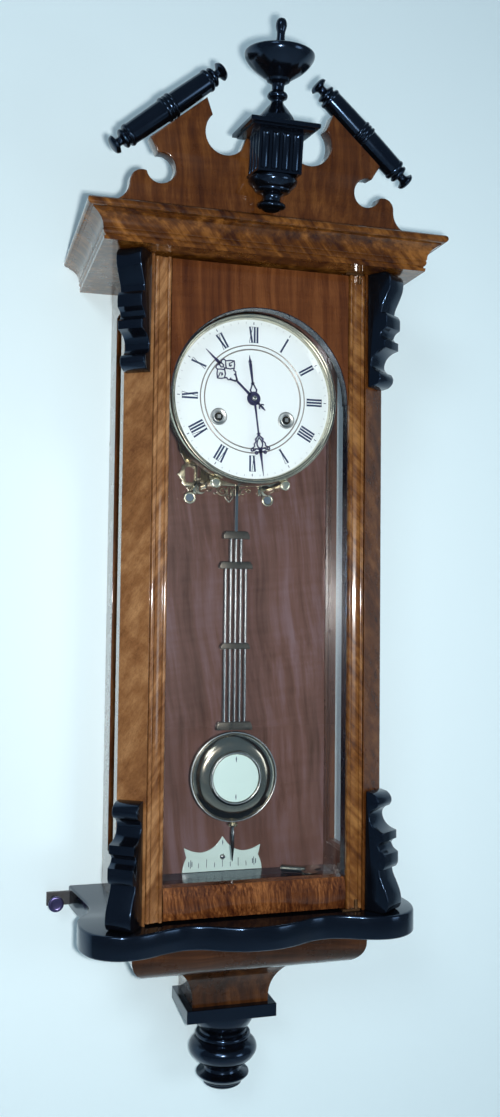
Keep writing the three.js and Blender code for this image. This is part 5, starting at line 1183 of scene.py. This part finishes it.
# Pendulum; its bars are (half width, top, height), the outer rods start at the second bar
pendulum = {
    "plane": -66, "pitch": 5.6, "rod": 1.5, "rodFoot": -344, "bobZ": -393, "strap": (-1.5, 1.5, -134, 42),
    "hook": (-4, 4, 36.7, 43.7), "eye": (-3, 3, 0.6, 11.4), "eyeWidth": 1.9, "halfThick": 3, "halfThin": 1,
    "bars": ((14.5, -133, 8), (18, -165.5, 7.5), (16, -252, 6.5), (19.6, -335.5, 8.5)),
    "barCorner": (2.4, 0.55), "beads": ((46.5, 68.6, 0.85), (26.4, 77.7, 0.8)), "ink": (11.12, 11.01),
    "marks": [[(0, -370.4, 0.4), (0, -373, 1.4), (0, -376.4, 0.4)],
              [(0, -409.6, 0.4), (0, -412.6, 1.4), (0, -415, 0.4)]],
}
bobTurning = [
    (0, 75.2, 1), (24.9, 75.2, 1), (24.9, 77.4, 1), (25.8, 78.1), (27.2, 77.9), (28.2, 76.7, 1),
    (29, 76, 1), (33, 75.7), (37, 74.9), (40.6, 73.1), (43.6, 70.6), (45.4, 68.2, 1), (45.9, 68.8, 1),
    (46.9, 68.5), (47.5, 67.2), (47.3, 65.4), (46, 63.6), (42, 60.4), (34, 57.6), (22, 56), (0, 55.2, 1),
]
pointerTurning = [(0, -482, 1), (0.5, -480), (1.9, -466.8, 1), (1.9, -453, 1), (1.5, -450, 1), (1.5, -440, 1),
                  (0, -440, 1)]
discTurning = [(0, 77, 1), (24.2, 77), (24.8, 76.6, 1), (24.8, 75.5, 1), (0, 75.5, 1)]
nutTurning = [(1.8, -444.8, 1), (3.8, -444.8), (5.2, -443.9), (5.5, -442.9), (5.2, -442.1), (3.4, -441.6, 1),
              (3.3, -440.8, 1), (1.8, -440.8, 1)]


def buildPendulum():
    y, bobZ, thick, thin = (pendulum[k] for k in ("plane", "bobZ", "halfThick", "halfThin"))
    cornerWide, cornerTall = pendulum["barCorner"]
    bars = []
    for half, top, height in pendulum["bars"]:
        shoulder = top - height * cornerTall
        outline = [(-half, top - height), (half, top - height), (half, shoulder), (half - cornerWide, top),
                   (-half + cornerWide, top), (-half, shoulder)]
        bars.append(slabMesh("bar", outline, roundedLevels(y - thick, y + thick, 0.5)))
    left, right, low, high = pendulum["eye"]
    eye = [(left, low), (left, high), (right, high), (right, low), (left, low)]
    strap = [
        slabMesh("strap", oblong(*pendulum["strap"]), [(0, y - thin), (0, y + thin)]),
        slabMesh("hook", oblong(*pendulum["hook"]), roundedLevels(y - thick, y + thick, 0.4)),
        strokeMesh("eye", [eye], y - thin, y + thin, pendulum["eyeWidth"]),
    ]
    fit(joined("pendulum_strap", strap), "rodSteel", "steel", "pendulum", "pendulum_frame")
    fit(joined("pendulum_bars", bars), "gunmetal", "steel", "pendulum")
    rods = []
    for i in range(-2, 3):
        top = pendulum["bars"][1 if abs(i) == 2 else 0][1]
        profile = [(0, pendulum["rodFoot"], 1), (pendulum["rod"], pendulum["rodFoot"], 1),
                   (pendulum["rod"], top, 1), (0, top, 1)]
        rods.append(moved(latheMesh("rod", profile, 20, 1), shift(i * pendulum["pitch"], y, 0)))
    rods.append(moved(latheMesh("pointer", pointerTurning, 20, 2), shift(0, y, 0)))
    fit(joined("pendulum_rods", rods), "rodSteel", "steel", "pendulum")
    bob = turnedFront("pendulum_bob_spun", bobTurning, 128, 4, False, 0, bobZ)
    fit(bob, "bobBrass", "brass", "pendulum", "pendulum_bob")
    # The beads are a brighter metal than the bob: they are painted highlights, the bright lines of light
    # along its rims.
    beads = []
    for radius, depth, bulge in pendulum["beads"]:
        bead = [(radius + bulge * math.cos(a * math.pi / 4), depth + bulge * math.sin(a * math.pi / 4))
                for a in range(8)]
        beads.append(turnedFront("bead", bead, 128, 2, True, 0, bobZ))
    fit(joined("pendulum_bob_beads", beads), "nickel", "brass", "pendulum")
    disc = turnedFront("bob_disc_enamelled", discTurning, 96, 1, False, 0, bobZ)
    fit(disc, "greenEnamel", "enamel", "pendulum", "bob_disc")
    inked = [y - rise for rise in pendulum["ink"]]
    fit(strokeMesh("bob_marks", pendulum["marks"], *inked), "ink", "blued_steel", "pendulum")
    nut = moved(latheMesh("rating_nut_turned", nutTurning, 40, 2, True), shift(0, y, 0))
    fit(nut, "brass", "brass", "rating_nut", "rating_nut")
    print("pendulum built")


# Beat scale, its outline in shares of its half width and height, with marks as (x, foot, height, width)
scaleCut = {"half": 45, "height": 37, "bottom": -501.7, "front": -26, "back": -24, "screwZ": -486.6,
            "slot": (-2.2, 2.2, -487, -486.2), "slotFloor": (-28.35, -27.4), "endX": 36, "endGap": 1.8,
            "endMark": (-495.6, -490.4), "endWidth": 0.9, "lean": 0.985, "ink": (0.14, 0.01)}
scaleShares = [(0, 1, 1), (0.06, 0.9), (0.14, 0.78), (0.26, 0.66), (0.4, 0.585), (0.55, 0.555), (0.75, 0.6),
               (0.96, 0.71, 1), (0.93, 0.55), (0.9, 0.42, 1), (0.945, 0.3), (0.985, 0.15), (1, 0, 1)]
scaleMarks = [(i * 9, -497.4, 5 if i % 2 else 9, 0.6) for i in range(-4, 5)]
scaleTip = [(0, -468.6, 0.3), (0, -471, 1), (0, -474, 0.3)]
screwTurning = [(0, 28.2, 1), (1.6, 28), (2.6, 27.2), (3, 26.02, 1), (0, 26.02, 1)]
knobTurning = [(0, 0, 1), (1.2, 0), (3, 3, 1), (3, 22, 1), (6.4, 22, 1), (7.6, 22.6), (8, 23.6), (8, 24.8),
               (7.4, 25.6), (5.6, 26, 1), (4.6, 25.7), (0, 25.5, 1)]
steadyPlace = {"x": 179, "z": -526.5}


def buildBeatScale():
    cut = scaleCut
    right = curveThrough(scaleShares)
    outline = [(cut["half"] * x, cut["bottom"] + cut["height"] * z)
               for x, z in right + mirrored(right[::-1][:-1])]
    plate = slabMesh("beat_scale_enamelled", outline, roundedLevels(cut["front"], cut["back"], 0.3, 2))
    fit(plate, "greenEnamel", "enamel", "case", "beat_scale")
    ticks = [[(x, foot, width), (x * cut["lean"], foot + tall, width)] for x, foot, tall, width in scaleMarks]
    for x in (-cut["endX"], cut["endX"]):
        for off in (-cut["endGap"], cut["endGap"]):
            ticks.append([(x + off, z, cut["endWidth"]) for z in cut["endMark"]])
    ticks.append(scaleTip)
    marks = strokeMesh("beat_scale_marks", ticks, *[cut["front"] - rise for rise in cut["ink"]])
    fit(marks, "ink", "blued_steel", "case")
    screw = turnedFront("beat_scale_screw", screwTurning, 32, 3, False, 0, cut["screwZ"])
    slot = slabMesh("slot", oblong(*cut["slot"]), [(0, y) for y in cut["slotFloor"]])
    fit(screw, "steel", "brass", "case")
    fit(slot, "ink", "blued_steel", "case")


def buildSmallParts():
    buildBeatScale()
    easedCopy("winding_key", "bobBrass", "brass", 0.5)
    for name, side in sides:
        piece = turnedFront("steady_screw_turned_" + name, knobTurning, 48, 3, False,
                            side * steadyPlace["x"], steadyPlace["z"])
        fit(piece, "blued", "steel", "steady_screw_" + name, "steady_screw_" + name)
    print("small parts built")


# Stage: wall and floor by place in metres and tilt in degrees, and the colour of the room
stage = {
    "wallColour": (0.81, 0.96, 1), "paleColour": (0.76, 0.86, 0.9), "floorColour": (0.8, 0.82, 0.82),
    "worldColour": (0.5, 0.76, 1.0), "worldStrength": 0.22, "floorGlow": 0.4, "size": 9,
    "wall": (0, 0.0012, 0), "wallTilt": 90, "floor": (0, -4.4, -1.5), "floorTilt": 0, "wallNear": 0.0028,
}


# What the camera sees, straight or through glass
def addSeen(tree):
    path = addNode(tree, "LightPath").outputs
    return addMath(tree, "MAXIMUM", path["Is Camera Ray"], path["Is Transmission Ray"])


# The wall is open from behind, so that the clock's back can be looked at, and to light that starts against it
def openWall(tree, shader):
    path = addNode(tree, "LightPath").outputs
    kind = addMath(tree, "MAXIMUM", path["Is Diffuse Ray"], path["Is Shadow Ray"])
    near = addMath(tree, "MULTIPLY", kind, addMath(tree, "LESS_THAN", path["Ray Length"], stage["wallNear"]))
    behind = addNode(tree, "NewGeometry").outputs["Backfacing"]
    openShader(tree, shader, addMath(tree, "MAXIMUM", behind, near))


def addStage():
    for name in ("wall", "floor"):
        bpy.ops.mesh.primitive_plane_add(size=stage["size"], location=stage[name],
                                         rotation=(math.radians(stage[name + "Tilt"]), 0, 0))
        sheet = bpy.context.object
        sheet.name = name
        colour = stage[name + "Colour"]
        material, tree, shader, spot = newMaterial(name + "Paint")
        polish = addPolish(tree, spot, 0.75, 0.9, 3)
        paint = clouded(tree, polish, 0.3, colour, tuple(c * 0.95 for c in colour))
        setShader(tree, shader, {"Base Color": paint, "Roughness": polish["Roughness"],
                                 "Specular IOR Level": 0.2})
        if name == "wall":
            openWall(tree, shader)
        else:
            glow = addMath(tree, "MULTIPLY", addSeen(tree), stage["floorGlow"])
            setShader(tree, shader, {"Emission Color": stage["paleColour"], "Emission Strength": glow})
        sheet.data.materials.append(material)
    world = bpy.data.worlds.new("room")
    bpy.context.scene.world = world
    world.use_nodes = True
    tree = world.node_tree
    dim = tuple(c * stage["worldStrength"] for c in stage["worldColour"])
    setShader(tree, tree.nodes["Background"], {
        "Color": mixColours(tree, addSeen(tree), dim, stage["paleColour"]), "Strength": 1})


# Lamps by place, target, size, power and colour
lamps = {
    "flash": ((-0.262, -1.125, -0.21), (0, 0, -0.2), 0.03, 9.6, (1, 0.98, 0.96)),
    "softKey": ((-1.3, -2.4, 1.1), (0, 0, -0.15), 0.8, 13.5, (0.84, 0.94, 1)),
    "softFill": ((1.9, -2.1, -0.3), (0, 0, -0.2), 0.9, 11, (0.88, 0.95, 1)),
    "behind": ((-0.9, 2.0, 0.7), (0, 0, -0.2), 0.9, 55, (1, 1, 1)),
}


def addLights():
    for name, (place, target, size, power, colour) in lamps.items():
        light = bpy.data.lights.new(name, "AREA")
        light.size = size
        light.energy = power
        light.color = colour
        lamp = bpy.data.objects.new(name, light)
        bpy.context.scene.collection.objects.link(lamp)
        lamp.location = place
        lamp.visible_camera = False
        lamp.visible_transmission = False
        lamp.rotation_mode = "QUATERNION"
        lamp.rotation_quaternion = (Vector(target) - Vector(place)).to_track_quat("-Z", "Y")


# The camera stands below the middle and to the left, as the photo was taken
cameraSet = {"place": (-0.2998, -1.1333, -0.1977), "yaw": 15.57, "pitch": 2.9, "roll": 0.68, "lens": 33.34,
             "shiftX": 0.0146, "shiftY": -0.017}


def addCamera():
    yaw, pitch, roll = (math.radians(cameraSet[k]) for k in ("yaw", "pitch", "roll"))
    ahead = Vector((math.sin(yaw) * math.cos(pitch), math.cos(yaw) * math.cos(pitch), math.sin(pitch)))
    right = Vector((math.cos(yaw), -math.sin(yaw), 0))
    up = right.cross(ahead)
    rightTilted = right * math.cos(roll) + up * math.sin(roll)
    upTilted = up * math.cos(roll) - right * math.sin(roll)
    data = bpy.data.cameras.new("camera")
    data.lens = cameraSet["lens"]
    data.shift_x = cameraSet["shiftX"]
    data.shift_y = cameraSet["shiftY"]
    camera = bpy.data.objects.new("camera", data)
    bpy.context.scene.collection.objects.link(camera)
    matrix = Matrix((rightTilted, upTilted, -ahead)).transposed().to_4x4()
    matrix.translation = Vector(cameraSet["place"])
    camera.matrix_world = matrix
    bpy.context.scene.camera = camera


addCamera()
buildCase()
buildCornice()
buildCrest()
buildBase()
buildScrolls()
buildDoor()
buildDial()
buildHands()
buildMovement()
buildBracket()
buildPendulum()
buildSmallParts()
addStage()
addLights()
bpy.context.scene.view_settings.view_transform = "Standard"
print("stage ready")
